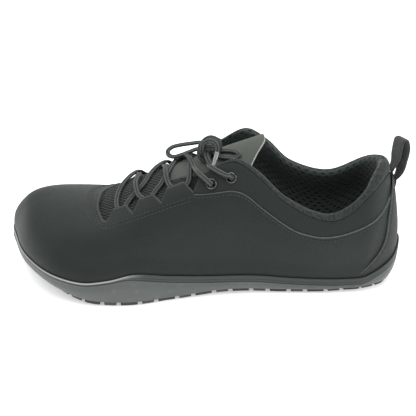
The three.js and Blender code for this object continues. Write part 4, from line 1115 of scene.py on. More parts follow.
@dataclass
class ViewPoint:
    """The camera, at the angle and distance that the shoe is seen from."""

    azimuth: float = -4.887
    elevation: float = 24.339
    roll: float = -1.401
    distance: float = 430.96
    focal: float = 611.48
    frame_width: float = 416.0
    target: tuple[float, float, float] = (134.217, 0.0, 48.136)

    def build(self) -> None:
        """Places the camera and makes it the scene's."""
        turn, rise = math.radians(self.azimuth), math.radians(self.elevation)
        back = np.array([math.sin(turn) * math.cos(rise), math.cos(turn) * math.cos(rise),
                         math.sin(rise)])
        right = unit(np.cross(-back, UP))
        above = np.cross(right, -back)
        roll = math.radians(self.roll)
        level = math.cos(roll) * right + math.sin(roll) * above
        upright = -math.sin(roll) * right + math.cos(roll) * above
        data = bpy.data.cameras.new("camera")
        data.sensor_width = 36.0
        data.lens = self.focal / self.frame_width * data.sensor_width
        data.clip_start, data.clip_end = 0.01, 50.0
        camera = linked("camera", data)
        place_at(camera, level, upright, back, to_frame(np.array(self.target) + back * self.distance))
        bpy.context.scene.camera = camera


@dataclass
class SoftBox:
    """An area light that looks at the shoe."""

    name: str
    place: tuple[float, float, float]
    size: float
    power: float

    def build(self) -> None:
        """Adds the light."""
        data = bpy.data.lights.new(self.name, "AREA")
        data.shape, data.size, data.energy, data.color = "DISK", self.size, self.power, WHITE
        back = unit(np.array(self.place) - SHOE_MIDDLE)
        side = unit(np.cross([0.0, 1.0, 0.01], back))
        place_at(linked(self.name, data), side, np.cross(back, side), back, np.array(self.place))


@dataclass
class Studio:
    """A white floor under a pale sky, with large soft lights."""

    reach: float = 12.0
    sky: float = 0.62
    glow: float = 0.4

    def build(self) -> None:
        """Adds floor, sky and lights."""
        scene = bpy.context.scene
        scene.view_settings.view_transform = "Standard"
        scene.view_settings.look = "None"
        world = bpy.data.worlds.new("sky")
        scene.world = world
        world.use_nodes = True
        graph = Graph(world.node_tree)
        graph.fill(world.node_tree.nodes["Background"], Color=opaque(WHITE), Strength=self.sky)
        half = self.reach / 2
        corners = np.array([(-1, -1, 0), (1, -1, 0), (1, 1, 0), (-1, 1, 0)]) * half
        floor = linked_mesh("floor", corners, faces=[(0, 1, 2, 3)])
        material = bpy.data.materials.new("pale_floor")
        material.use_nodes = True
        graph = Graph(material.node_tree)
        graph.fill(material.node_tree.nodes["Principled BSDF"], Base_Color=(0.9, 0.9, 0.9, 1.0),
                   Roughness=0.9, Specular_IOR_Level=0.0, Emission_Color=opaque(WHITE),
                   Emission_Strength=self.glow)
        floor.data.materials.append(material)
        for light in (SoftBox("top", (0.15, 0.05, 1.3), 1.5, 17.5),
                      SoftBox("toe", (0.95, 0.25, 0.75), 0.6, 2.0),
                      SoftBox("back", (0.30, -1.1, 0.75), 0.9, 3.0),
                      SoftBox("heel", (-0.75, 0.35, 0.45), 0.6, 3.6)):
            light.build()


def oval_lace(width: float, height: float, groove: float, sides: int = 20) -> Array:
    """Outline of a braided lace of two ribs: across and off the surface."""
    turn = 2 * np.pi * (np.arange(sides) + 0.5) / sides
    across = np.cos(turn) * width / 2
    return np.column_stack([across, np.sin(turn) * height / 2
                            * (1 - groove * bell(across, 0.16 * width))])


@dataclass
class Bow:
    """The knot with its bow: two loops and two ends, each a free cord."""

    last: Last
    lace: float = 3.2
    knot: tuple[float, float, float] = (0.467, -0.06, 0.925)
    step: float = 0.7
    aglet_length: float = 10.0

    WRAPS = (
        ((132.1, 9, 84.1), (135.4, 8, 86.2), (138.2, 7, 88.3), (138.7, 7, 92.2), (137.6, 7, 96.7),
         (134.8, 7, 100.4), (131.2, 7, 102.3), (127.4, 6, 101.1), (125.1, 5, 98.1), (124.5, 4, 94),
         (125.6, 3, 90.1)),
        ((132.9, 3, 98.2), (135.4, 8, 99.1), (136.4, 9.5, 95.8), (136.0, 8, 91.1), (134.3, 5, 87.2)),
        ((126.8, 5, 95), (130.6, 8, 95.5), (133.9, 8, 95.3), (136.5, 5, 95)),
    )
    LOOPS = {
        "lace_loop_front": ((133.5, -4, 92.7), (138.5, -7, 94.1), (145.7, -9, 92.8),
                            (153.5, -10.5, 91.1), (159.2, -10.5, 89.5), (161.9, -8.5, 87.4),
                            (160.8, -5.5, 85.3), (157.1, -3.5, 85.0), (152.2, -3, 86.5),
                            (146.6, -3, 88.7), (140.9, -2, 91.2), (134.7, -1, 92.2)),
        "lace_loop_back": ((130.5, 0, 92.6), (125, 2, 91.5), (119.5, 4, 92.0), (114.8, 6.5, 92.4),
                           (112.1, 9, 91.4), (114.3, 10, 89.5), (118.6, 10, 89.2), (124, 8, 89.1),
                           (129.7, 3, 90.1)),
    }
    # The first points of the ends wind through the knot.
    ENDS = {
        "lace_end_outer": ((132.9, -5, 92.3), (136.1, -2, 90.5), (136.2, 5, 96), (133.7, 9, 99.8),
                           (130.2, 11, 101.1), (127.1, 13, 100.3), (125.9, 14, 97.4),
                           (126.2, 15, 94.3), (127.3, 17, 90.2), (128.3, 19, 86.4)),
        "lace_end_inner": ((129.5, -6, 95.6), (127.3, -3, 93), (129.1, 1, 91.3), (132.2, 4, 92.7),
                           (133.7, 7, 92.9), (133.7, 9, 91.1), (132.8, 12, 89.2), (131.1, 15, 87.6),
                           (129.3, 17.5, 86.2)),
    }

    def middle(self) -> Array:
        """The knot's middle."""
        along, across, height = self.knot
        return np.array([along * self.last.length, across * self.last.half_throat,
                         height * self.last.instep_height])

    def knot_shell(self) -> Shell:
        """The knot: a strand wound over and under itself, and the wrap standing over it."""
        turn = np.linspace(0.0, 2 * np.pi, 64, endpoint=False)
        wound = np.column_stack([np.sin(turn) + 2 * np.sin(2 * turn),
                                 np.cos(turn) - 2 * np.cos(2 * turn), -np.sin(3 * turn)])
        strand = self.middle() + wound * [1.2, 0.9, 1.4] - [1.6, 2.0, 0.0]
        strand = np.vstack([strand, strand[:3]])
        outline = oval_lace(self.lace, 0.8 * self.lace, 0.4)
        away = unit(strand - self.middle() + 1e-6)
        shells = [tube_shell(strand, outline, away)]
        for wrap in self.WRAPS:
            path = rounded_path(wrap, self.step)
            shells.append(tube_shell(path, outline, unit(path - self.middle())))
        return Shell.join(shells)

    def build(self) -> None:
        """Makes the knot, then the loops and ends."""
        finishes = [material_of(LACE_BRAID), material_of(AGLET)]
        knot = settle(self.knot_shell().build("bow_knot", finishes), "lace", "lace_knot")
        outline = oval_lace(1.06 * self.lace, 0.78 * self.lace, 0.45)
        for node, points in {**self.LOOPS, **self.ENDS}.items():
            path = rounded_path(points, self.step)
            tip = node in self.ENDS
            left = self.aglet_length - (path_length(path) - distances(path))
            aglet = (left > 0) & (node == "lace_end_outer")
            scale = np.where(aglet, 0.86, 1.0)
            facing = [0.05, 0.8, 0.6] if tip else [0.1, 0.35, 1.0]
            shell = tube_shell(path, outline, facing, scale, aglet.astype(int))
            piece = settle(shell.build(node.replace("lace_", "bow_"), finishes), "lace", node)
            world = to_frame(path)
            tuple(world[0])
            path_length(path) * MM


@dataclass
class Tongue:
    """The padded tongue: zigzag knit under the laces, a leather patch over its upper end."""

    last: Last
    thickness: float = 3.2
    tab_underlap: float = 13.0
    panel_underlap: float = 21.0
    half_width: float = 24.0
    gap: float = 1.3
    back: float = 0.335
    front: float = 0.765
    patch_end: float = 0.462
    patch_tip: float = 0.553
    columns: int = 280
    rows: int = 156

    @cached_property
    def places(self) -> Array:
        """Places along the shoe at which its sides are tabulated."""
        return np.linspace(self.back - 0.02, self.front + 0.02, 260) * self.last.length

    @cached_property
    def sides(self) -> dict[bool, Array]:
        """Its side against the inside of the upper, on the outer and the inner side."""
        return {outer: self._side(outer) for outer in (True, False)}

    def _side(self, outer: bool) -> Array:
        """One side at the tabulated places."""
        last = self.last
        share = np.clip(self.places / last.length, 0, NOTCHES[3][2])
        walk = last.along_edge(share, outer)
        underlap = mix(self.panel_underlap, self.tab_underlap, smooth(share, 0.46, 0.53))
        up = (1 - underlap / walk.length)[:, None]
        point = walk.offset(up, -walk.wall(up) - self.gap)[:, 0]
        past = self.places - share * last.length
        point[:, 0] += past
        point[:, 1] += past * (-0.3 if outer else 0.3)
        crown = curve_through(TONGUE_CROWN, self.places / last.length)
        half = 0.86 if outer else -0.64
        free = np.column_stack([self.places, (crown[:, 0] + half) * last.half_throat,
                                (crown[:, 1] - 0.10) * last.instep_height])
        return mix(point, free, (1 - smooth(self.places / last.length, self.back, 0.43))[:, None])

    def points(self, x: Array, share: Array) -> Array:
        """Points of its front at places along the shoe and shares of its half width."""
        x, share = np.broadcast_arrays(np.asarray(x, float), np.asarray(share, float))
        crown = curve_through(TONGUE_CROWN, x / self.last.length)
        middle = np.stack([x, crown[..., 0] * self.last.half_throat,
                           crown[..., 1] * self.last.instep_height], axis=-1)
        edges = {outer: np.stack([np.interp(x, self.places, side[:, k]) for k in range(3)], axis=-1)
                 for outer, side in self.sides.items()}
        edge = np.where((share > 0)[..., None], edges[True], edges[False])
        arch = np.cos(np.pi / 2 * np.abs(share)) ** 1.6
        point = mix(middle, edge, np.abs(share)[..., None])
        point[..., 2] = mix(edge[..., 2], middle[..., 2], arch)
        return point

    def normals(self, x: Array, share: Array) -> Array:
        """Unit vectors off its front."""
        low, high = np.clip(np.asarray(share) - 0.03, -1, 1), np.clip(np.asarray(share) + 0.03, -1, 1)
        along = self.points(np.asarray(x) + 1, share) - self.points(np.asarray(x) - 1, share)
        across = self.points(x, high) - self.points(x, low)
        return unit(np.cross(along, across))

    def over(self, along: float, across: float, lift: float) -> tuple[Array, Array]:
        """A lace's place over it.

        Args:
            along: Share of the length.
            across: Share of the half throat.
            lift: Height of its middle, in millimetres.

        Returns:
            The point and the unit vector off the tongue.
        """
        x = along * self.last.length
        shares = np.linspace(-1, 1, 401)
        sides = self.points(x, shares)[:, 1]
        share = np.interp(across * self.last.half_throat, sides, shares)
        point, normal = self.points(x, share), self.normals(x, share)
        return point + normal * lift, normal

    def build(self) -> None:
        """Makes the sheet with its relief."""
        i, share = np.meshgrid(np.linspace(0, 1, self.columns), np.linspace(-1, 1, self.rows),
                               indexing="ij")
        share = np.sign(share) * (1 - (1 - np.abs(share)) ** 1.15)
        start = self.back + 0.035 * np.abs(share) ** 3 - 0.003 * bell(share - 0.35, 0.25) \
            + 0.014 * smooth(share, 0.25, 0.8)
        x = self.last.length * mix(start, self.front, i)
        points, normals = self.points(x, share), self.normals(x, share)
        along = x / self.last.length
        girth = distances(points)
        girth -= girth[:, [self.rows // 2]]
        line = mix(self.patch_tip, self.patch_end, smooth(np.abs(share), 0.44, 0.50))
        knit = smooth(along, line, line + 0.003)
        bend = np.abs(np.mod(x / 2.9 + 0.5, 1.0) - 0.5)
        zigzag = 0.5 + 0.5 * np.cos(2 * np.pi * (girth / 2.4 + 1.3 * bend))
        elastic = knit * smooth(np.abs(share), 0.46, 0.50) * (1 - smooth(along, 0.524, 0.532))
        ribs = 0.5 + 0.5 * np.cos(2 * np.pi * x / 2.2)
        patch = (1 - knit) * 0.7
        relief = mix(0.35 * zigzag, 0.7 * ribs, elastic) * knit + patch
        slit = bell(girth - 6.5 - 0.3 * (x - 0.52 * self.last.length), 0.45) \
            * bell(x - 0.52 * self.last.length, 2.2)
        edge = np.minimum(i, 1 - i) * (self.front - self.back) * self.last.length
        side = (1 - np.abs(share)) * self.half_width
        rounding = np.sqrt(np.clip(1 - (1 - np.minimum(1, np.minimum(edge, side) / 1.6)) ** 2, 0, 1))
        relief = (relief - 0.9 * slit) * rounding - 0.9 * (1 - rounding)
        front = points + normals * relief[..., None]
        from_end = i * (self.front - self.back) * self.last.length
        thick = mix(1.3, self.thickness, smooth(from_end, 0.0, 12.0))
        thick -= mix(0.3, 1.2, smooth(from_end, 2, 12)) * (1 - rounding)
        back = points - normals * thick[..., None]
        # The tongue's top end takes the pale edge finish: the cut edge's own tone with a painted
        # highlight.
        names = (TONGUE_LEATHER, KNIT, ELASTIC, PALE_EDGE_AND_HIGHLIGHT)
        finish = np.zeros((self.columns - 1, self.rows - 1), int)
        for name, here in ((KNIT, knit > 0.5), (ELASTIC, elastic > 0.5), (PALE_EDGE_AND_HIGHLIGHT, from_end < 0.4)):
            finish[here[:-1, :-1]] = names.index(name)
        shell = sheet_shell(front, back, (girth, x), finish)
        distance = np.minimum(edge, np.abs(along - line) * self.last.length) + 0.4
        shell.marks["to_edge"] = np.tile(distance.ravel(), 2)
        piece = shell.build("tongue_dressed", [material_of(n) for n in names])
        settle(piece, "tongue_knit", "tongue")


@dataclass
class Lacing:
    """The lace over the tongue, under the tabs and through the eyelets."""

    last: Last
    tongue: Tongue
    bow: Bow
    lace: float = 3.2
    step: float = 0.9

    TABS = (0.668, 0.604, 0.535)
    EYELETS = ((0.455, 9.5), (0.410, 11.0))
    # The tab on the outer side, the one on the inner side, and the places over the tongue
    # between them: shares of length and half throat, and lift in lace diameters.
    STRANDS = (
        (0, 1, ((0.677, 0.84, 0.66), (0.679, 0.48, 0.66), (0.671, 0.16, 0.70),
                (0.655, -0.22, 1.10), (0.642, -0.47, 1.60), (0.630, -0.74, 1.10))),
        (1, 0, ((0.624, 0.80, 1.20), (0.632, 0.48, 1.64), (0.632, 0.04, 0.90),
                (0.640, -0.20, 0.66), (0.655, -0.55, 0.66), (0.680, -0.82, 0.66))),
        (0, 2, ((0.649, 0.82, 0.66), (0.632, 0.62, 0.62), (0.617, 0.46, 0.62),
                (0.600, 0.08, 0.70), (0.586, -0.16, 1.00), (0.570, -0.50, 1.60),
                (0.555, -0.80, 1.10))),
        (2, 0, ((0.552, 0.77, 1.10), (0.561, 0.42, 1.60), (0.568, 0.10, 0.90),
                (0.585, -0.36, 0.66), (0.612, -0.70, 0.62), (0.642, -0.86, 0.62))),
        (2, 2, ((0.512, 0.80, 0.66), (0.508, 0.40, 0.66), (0.510, -0.10, 0.66),
                (0.512, -0.56, 0.66), (0.517, -0.80, 0.66))),
    )
    FROM_OUTER_TAB = ((0.588, 0.82, 0.66), (0.575, 0.66, 0.66), (0.560, 0.34, 0.66),
                      (0.540, -0.24, 1.00), (0.512, -0.52, 1.60), (0.488, -0.68, 1.50))
    FROM_INNER_TAB = ((0.583, -0.82, 0.66), (0.560, -0.60, 0.90), (0.526, -0.20, 1.60),
                      (0.508, 0.10, 1.20), (0.497, 0.40, 1.05))

    def under_tab(self, tab: int, outer: bool) -> Array:
        """The lace's middle under a tab."""
        return self.last.on_panel(outer, self.TABS[tab], 3.6,
                                  -self.last.leather - 0.7 - self.lace / 2)

    def over(self, rows: Rows) -> list[Array]:
        """Places over the tongue."""
        return [self.tongue.over(along, across, lift * self.lace)[0] for along, across, lift in rows]

    def past_panel(self, outer: bool, before: list[Array]) -> list[Array]:
        """The lace over the panel's edge, in at the front eyelet, out at the back one."""
        last, panel = self.last, self.last.on_panel

        def behind(along: float, depth: float) -> Array:
            """The lace behind the panel at an eyelet."""
            walk = last.along_edge(along, outer)
            up = 1 - depth / walk.length[:, None]
            return walk.offset(up, -walk.wall(up) - 1.1 - self.lace / 2)[0, 0]

        front, back = self.EYELETS
        to_front = [panel(outer, front[0] + ahead, front[1] - less, lift) for ahead, less, lift in
                    ((0.0275, 10.0, 1.9), (0.019, 6.6, 2.3), (0.009, 3.1, 2.5), (0.002, 0.6, 2.2))]
        to_back = [panel(outer, back[0] + ahead, back[1] - less, lift) for ahead, less, lift in
                   ((0.001, 0.6, 2.2), (0.011, 2.5, 2.3), (0.022, 5.4, 2.4), (0.032, 8.4, 2.3),
                    (0.042, 11.6, 2.0))]
        return [*before, *to_front, panel(outer, *front, 0.0), behind(*front),
                behind(front[0] + 0.002, front[1]), behind(back[0] - 0.002, back[1]), behind(*back),
                panel(outer, *back, 0.0), *to_back,
                self.over(((0.461, 0.42 if outer else -0.42, 1.5),))[0], self.bow.middle()]

    def build(self) -> None:
        """Makes all strands as one piece."""
        paths = [[self.under_tab(outer, True), *self.over(rows), self.under_tab(inner, False)]
                 for outer, inner, rows in self.STRANDS]
        paths.append(self.past_panel(True, [self.under_tab(1, False), *self.over(self.FROM_INNER_TAB)]))
        paths.append(self.past_panel(False, [self.under_tab(1, True), *self.over(self.FROM_OUTER_TAB)]))
        outline = oval_lace(1.06 * self.lace, 0.8 * self.lace, 0.45)
        shells = []
        for points in paths:
            path = rounded_path(np.array(points), self.step)
            crown = curve_through(TONGUE_CROWN, path[:, 0] / self.last.length)
            axis = np.column_stack([path[:, 0], crown[:, 0] * self.last.half_throat,
                                    crown[:, 1] * self.last.instep_height - 32.0])
            shells.append(tube_shell(path, outline, unit(path - axis)))
        piece = Shell.join(shells).build("lace_strands", [material_of(LACE_BRAID)])
        settle(piece, "lace", "lace_crossings")


@dataclass
class Eyelets:
    """Four blackened rings in the collar panels."""

    last: Last
    bore: float = 2.2
    flange: float = 3.7
    rise: float = 1.0
    turns: int = 48

    def seats(self) -> Iterable[tuple[str, Array, Array]]:
        """Name, middle and outward direction of each eyelet."""
        for side, outer in (("outer", True), ("inner", False)):
            for number, (along, depth) in enumerate(Lacing.EYELETS, 1):
                seat = self.last.on_panel(outer, along, depth, 0.0)
                axis = unit(self.last.on_panel(outer, along, depth, 1.0) - seat)
                yield f"eyelet_{side}_{number}", seat, axis

    def drill(self, seat: Array, axis: Array, radius: float, reach: float) -> Shell:
        """A round bar through a seat, to cut the hole."""
        return self.turned(seat, axis, [(radius, -reach), (radius, reach)], False)

    def turned(self, seat: Array, axis: Array, profile: Rows, ring: bool) -> Shell:
        """A shape turned about a seat's axis, from radii and heights."""
        side = unit(np.cross(axis, [0.0, 0.31, 0.95]))
        front = np.cross(axis, side)
        turn = 2 * np.pi * np.arange(self.turns) / self.turns
        radius, height = np.array(profile, float).T
        spoke = np.cos(turn)[:, None] * side + np.sin(turn)[:, None] * front
        points = seat + spoke[:, None] * radius[None, :, None] + axis * height[None, :, None]
        rows = len(profile)
        faces = grid_faces(self.turns, rows, True, ring).tolist()
        if not ring:
            faces += [list(range(0, self.turns * rows, rows)),
                      list(range(self.turns * rows - 1, 0, -rows))]
        return Shell(points.reshape(-1, 3), faces)

    def build(self) -> None:
        """Makes the rings, each with a rolled flange and its barrel."""
        seat_height = self.last.clearance + 0.05
        middle = (self.bore + self.flange) / 2
        half = (self.flange - self.bore) / 2
        roll = [(middle + half * math.cos(a), seat_height + self.rise * math.sin(a))
                for a in np.linspace(0, math.pi, 15)]
        barrel = [(self.bore + 0.05, 0.0), (self.bore + 0.05, -2.4), (self.bore + 0.45, -2.4),
                  (self.bore + 0.45, seat_height - 0.1), (self.flange - 0.2, seat_height - 0.05)]
        for name, seat, axis in self.seats():
            shell = self.turned(seat, axis, [*roll, *barrel], True)
            piece = shell.build(f"{name}_ring", [material_of(RING_METAL)])
            settle(piece, "eyelet_metal", name)


@dataclass(frozen=True)
class Crease:
    """A soft trough or ridge of the leather."""

    along: float
    height: float
    length: float
    width: float
    depth: float
    turn: float
    outer: bool = True

    def relief(self, points: Array, last: Last) -> Array:
        """How far it moves the surface at points of the last."""
        x = points[..., 0] - self.along * last.length
        z = points[..., 2] - self.height * last.instep_height
        angle = math.radians(self.turn)
        down, across = x * math.cos(angle) + z * math.sin(angle), z * math.cos(angle) - x * math.sin(angle)
        side = smooth(points[..., 1] if self.outer else -points[..., 1], 0.0, 12.0)
        return self.depth * bell(down, self.length) * bell(across, self.width) * side


@dataclass
class Upper:
    """The upper: quarter and vamp over the collar panel, the padded rim and the lining."""

    last: Last
    eyelets: Eyelets
    columns: int = 520
    lower_rows: int = 36
    upper_rows: int = 20
    inner_rows: int = 30
    toe_crown: float = 2.4
    heel_pad: float = 2.6

    # Distance over the seam, and share of the overlap: the quarter's cut edge.
    SEAM = ((-1.2, 1.0), (-0.6, 1.0), (-0.3, 0.96), (-0.1, 0.82), (0.0, 0.55), (0.04, -0.05),
            (0.4, -0.12), (1.0, 0.0))
    # The groove before the rim fabric: distance below its middle and lift.
    GROOVE = ((1.7, 0.0), (0.6, 0.0), (0.3, -0.1), (0.08, -0.5), (-0.08, -0.55), (-0.25, -0.1))
    # The rim fabric over it: share of the groove's depth and lift.
    RIM = ((0.66, 0.2), (0.46, 0.32), (0.26, 0.32), (0.12, 0.18))
    # Depth of the groove under the opening's edge, by share of the length.
    GROOVE_DEPTH = ((0.03, 4.3), (0.09, 2.8), (0.14, 1.7), (0.19, 1.15), (0.28, 0.95), (0.48, 0.95))
    CREASES = (
        Crease(0.49, 0.30, 9.0, 2.2, -0.45, 78.0), Crease(0.515, 0.27, 8.0, 3.0, 0.30, 82.0),
        Crease(0.36, 0.36, 16.0, 6.0, -0.40, 20.0), Crease(0.42, 0.50, 14.0, 5.0, 0.30, 28.0),
        Crease(0.60, 0.42, 13.0, 3.0, -0.22, 64.0), Crease(0.645, 0.42, 12.0, 3.0, -0.20, 72.0),
        Crease(0.20, 0.34, 14.0, 5.0, -0.30, 8.0), Crease(0.13, 0.62, 9.0, 3.0, -0.25, 62.0),
        Crease(0.23, 0.60, 16.0, 3.0, -0.20, 10.0), Crease(0.69, 0.48, 12.0, 4.0, 0.18, 80.0),
        Crease(0.47, 0.34, 10.0, 2.6, -0.45, 100.0, False),
        Crease(0.36, 0.42, 16.0, 6.0, -0.40, 158.0, False),
        Crease(0.60, 0.40, 12.0, 3.0, -0.25, 110.0, False),
        Crease(0.22, 0.36, 14.0, 5.0, -0.30, 172.0, False),
        Crease(0.42, 0.60, 13.0, 4.0, 0.25, 150.0, False),
    )

    @cached_property
    def walk(self) -> Sections:
        """Sections for the columns: even, with the corners of the notches and seams kept."""
        last = self.last
        marks = []
        for outer in (True, False):
            corners = last.around_at(EDGE_X, np.array(NOTCHES).ravel() * last.length, outer)
            marks += [corner + shift for corner in corners for shift in (-0.25, 0.0, 0.25)]
        marks += [last.inner_vamp_seam + shift for shift in (-0.9, -0.4, 0.05, 0.3)]
        even = np.arange(self.columns) * last.around / self.columns
        far = np.min(np.abs(even[:, None] - np.array(marks)[None]), axis=1) > 0.6
        places = np.unique(np.round(np.concatenate([even[far], marks]), 4))
        return Sections(last, places[np.concatenate([[True], np.diff(places) > 0.04])])

    def loops(self) -> tuple[Array, dict[str, int], Array]:
        """The wall's points, columns by rows.

        Returns:
            The points, the rows at which its parts begin, and each point's distance to a cut edge.
        """
        walk, last = self.walk, self.last
        length, top, seam = walk.length[:, None], walk.edge_up[:, None], walk.seam_up[:, None]
        below, above = walk.layer(False)[:, None], walk.layer(True)[:, None]
        over, lift = np.array(self.SEAM).T
        room = (top - seam) * length
        tight = np.minimum(1.0, room / 9.0)
        step = seam + over * np.minimum(1.0, tight * 3) / length
        lower = np.linspace(0, 1, self.lower_rows, endpoint=False) * step[:, :1]
        groove = curve_through(self.GROOVE_DEPTH, walk.edge_share)
        below_groove, dip = np.array(self.GROOVE).T
        over_groove, swell = np.array(self.RIM).T
        depth = np.concatenate([groove + below_groove, groove * over_groove], axis=1)
        puff = np.concatenate([dip, swell])
        rim_share = 1 - smooth(walk.edge_share, 0.40, 0.45)[:, None]
        rim = top - depth * tight / length
        rise = step[:, -1:] + np.linspace(0, 1, self.upper_rows + 1)[1:-1] * (rim[:, :1] - step[:, -1:])
        up = np.concatenate([lower, step, rise, rim, top], axis=1)
        stand = np.concatenate([np.broadcast_to(below, lower.shape), mix(above, below, lift),
                                np.broadcast_to(above, rise.shape),
                                above + puff * rim_share, above + 0.05 * rim_share], axis=1)
        bare = walk.points(up)
        folds = sum(crease.relief(bare, last) for crease in self.CREASES)
        folds = folds + self.toe_crown * smooth(up, 0.12, 0.38) * bell(
            bare[..., 0] - 0.915 * last.length, 0.070 * last.length)
        calm = smooth(up * length, 1.0, 8.0) * smooth((top - up) * length, 2.0, 9.0)
        outer = bare + walk.normals(up) * (stand + walk.bulge(up) + folds * calm)[..., None]
        inward = (1 - np.linspace(0, 1, self.inner_rows) ** 1.25) * top
        inner = walk.offset(inward, -walk.wall(inward))
        crest, inside = outer[:, -1:], inner[:, :1]
        middle, across = (crest + inside) / 2, crest - inside
        half = np.linalg.norm(across, axis=2, keepdims=True) / 2
        climb = unit(walk.points(top) - walk.points(top - 0.01))
        turn = np.linspace(0, np.pi, 12)[1:-1][None, :, None]
        power = mix(0.36, 1.0, rim_share)[..., None]
        height = half * mix(0.62, 1.0, rim_share)[..., None]
        roll = (middle + unit(across) * half * np.sign(np.cos(turn)) * np.abs(np.cos(turn)) ** power
                + climb * height * np.sin(turn) ** power)
        foot = walk.low[:, None] + walk.out[:, None] * [[[last.overlap]]]
        foot_in = walk.low[:, None] - walk.out[:, None] * [[[last.leather]]]
        points = np.concatenate([foot, outer, roll, inner, foot_in], axis=1)
        height = points[..., 2] / crest[..., 2]
        points[..., 2] += (self.heel_pad * (1 - smooth(walk.edge_share, 0.05, 0.20))[:, None]
                           * smooth(height, 0.70, 0.98))
        starts = {"step": 1 + self.lower_rows, "rise": 1 + self.lower_rows + len(over)}
        starts["rim"] = starts["rise"] + rise.shape[1]
        starts["roll"] = starts["rim"] + rim.shape[1] + 1
        starts["inner"] = starts["roll"] + roll.shape[1]
        to_seam = np.where((up <= seam + 0.1 / length) & (walk.edge_share[:, None] < NOTCHES[0][1]),
                           (seam - up) * length, FAR)
        to_top = np.where(rim_share > 0.5, FAR, (top - up) * length)
        distance = np.full(points.shape[:2], FAR)
        distance[:, 1:starts["roll"]] = np.clip(np.minimum(to_seam, to_top), 0.0, FAR)
        return points, starts, distance

    def build(self) -> bpy.types.Object:
        """Makes the wall, cuts the eyelets' holes and settles it."""
        points, starts, distance = self.loops()
        columns, rows = points.shape[:2]
        finish = np.zeros((columns, rows), int)
        share = self.walk.edge_share
        collar = share < NOTCHES[0][1]
        rimmed = share < 0.44
        names = (LEATHER, PANEL_LEATHER, RIM_FABRIC, RAW_EDGE_AND_HIGHLIGHT, LINING)
        quarter, panel, cloth, cut, lined = range(len(names))
        step, rise, rim, roll, inner = (starts[k] for k in ("step", "rise", "rim", "roll", "inner"))
        plain = np.where(collar, panel, quarter)
        # The cut rows at the quarter's edge and along the tabs' tops take the pale cut edge finish, which
        # includes a painted highlight.
        for first, after, kind in ((roll - 1, roll + 4, np.where(rimmed, cloth, quarter)),
                                   (roll + 1, roll + 5, np.where(rimmed, cloth, cut)),
                                   (roll + 5, rows, np.full(columns, lined)),
                                   (rise - 3, roll - 1, plain),
                                   (step + 3, step + 5, np.where(collar, cut, quarter)),
                                   (rim + 3, roll - 1, np.where(rimmed, cloth, plain))):
            finish[:, first:after] = kind[:, None]
        closed = np.concatenate([points, points[:1]])
        along = distances(closed[:, roll])
        climb = distances(np.concatenate([closed, closed[:, :1]], axis=1))
        climb -= climb[:, [roll]]
        shell = Shell(points.reshape(-1, 3), grid_faces(columns, rows, True, True).tolist(),
                      finish.ravel(), grid_corners(along[:, None], climb),
                      {"to_edge": distance.ravel()})
        piece = shell.build("upper_dressed", [material_of(n) for n in names])
        self.cut_holes(piece)
        return settle(piece, "upper_leather", "upper")

    def cut_holes(self, piece: bpy.types.Object) -> None:
        """Cuts the four eyelets' holes through the wall."""
        bars = [self.eyelets.drill(seat, axis, self.eyelets.bore + 0.62, 9.0)
                for _, seat, axis in self.eyelets.seats()]
        for bar in bars:
            cutter = bar.build("hole_bar", [])
            cut = piece.modifiers.new("hole", "BOOLEAN")
            cut.operation, cut.object, cut.solver = "DIFFERENCE", cutter, "EXACT"
            bake(piece)
            bpy.data.objects.remove(cutter)


def bake(piece: bpy.types.Object) -> None:
    """Turns a piece's live modifiers into a plain mesh."""
    graph = bpy.context.evaluated_depsgraph_get()
    mesh = bpy.data.meshes.new_from_object(piece.evaluated_get(graph))
    piece.modifiers.clear()
    old, piece.data = piece.data, mesh
    mesh.name = piece.name
    bpy.data.meshes.remove(old)


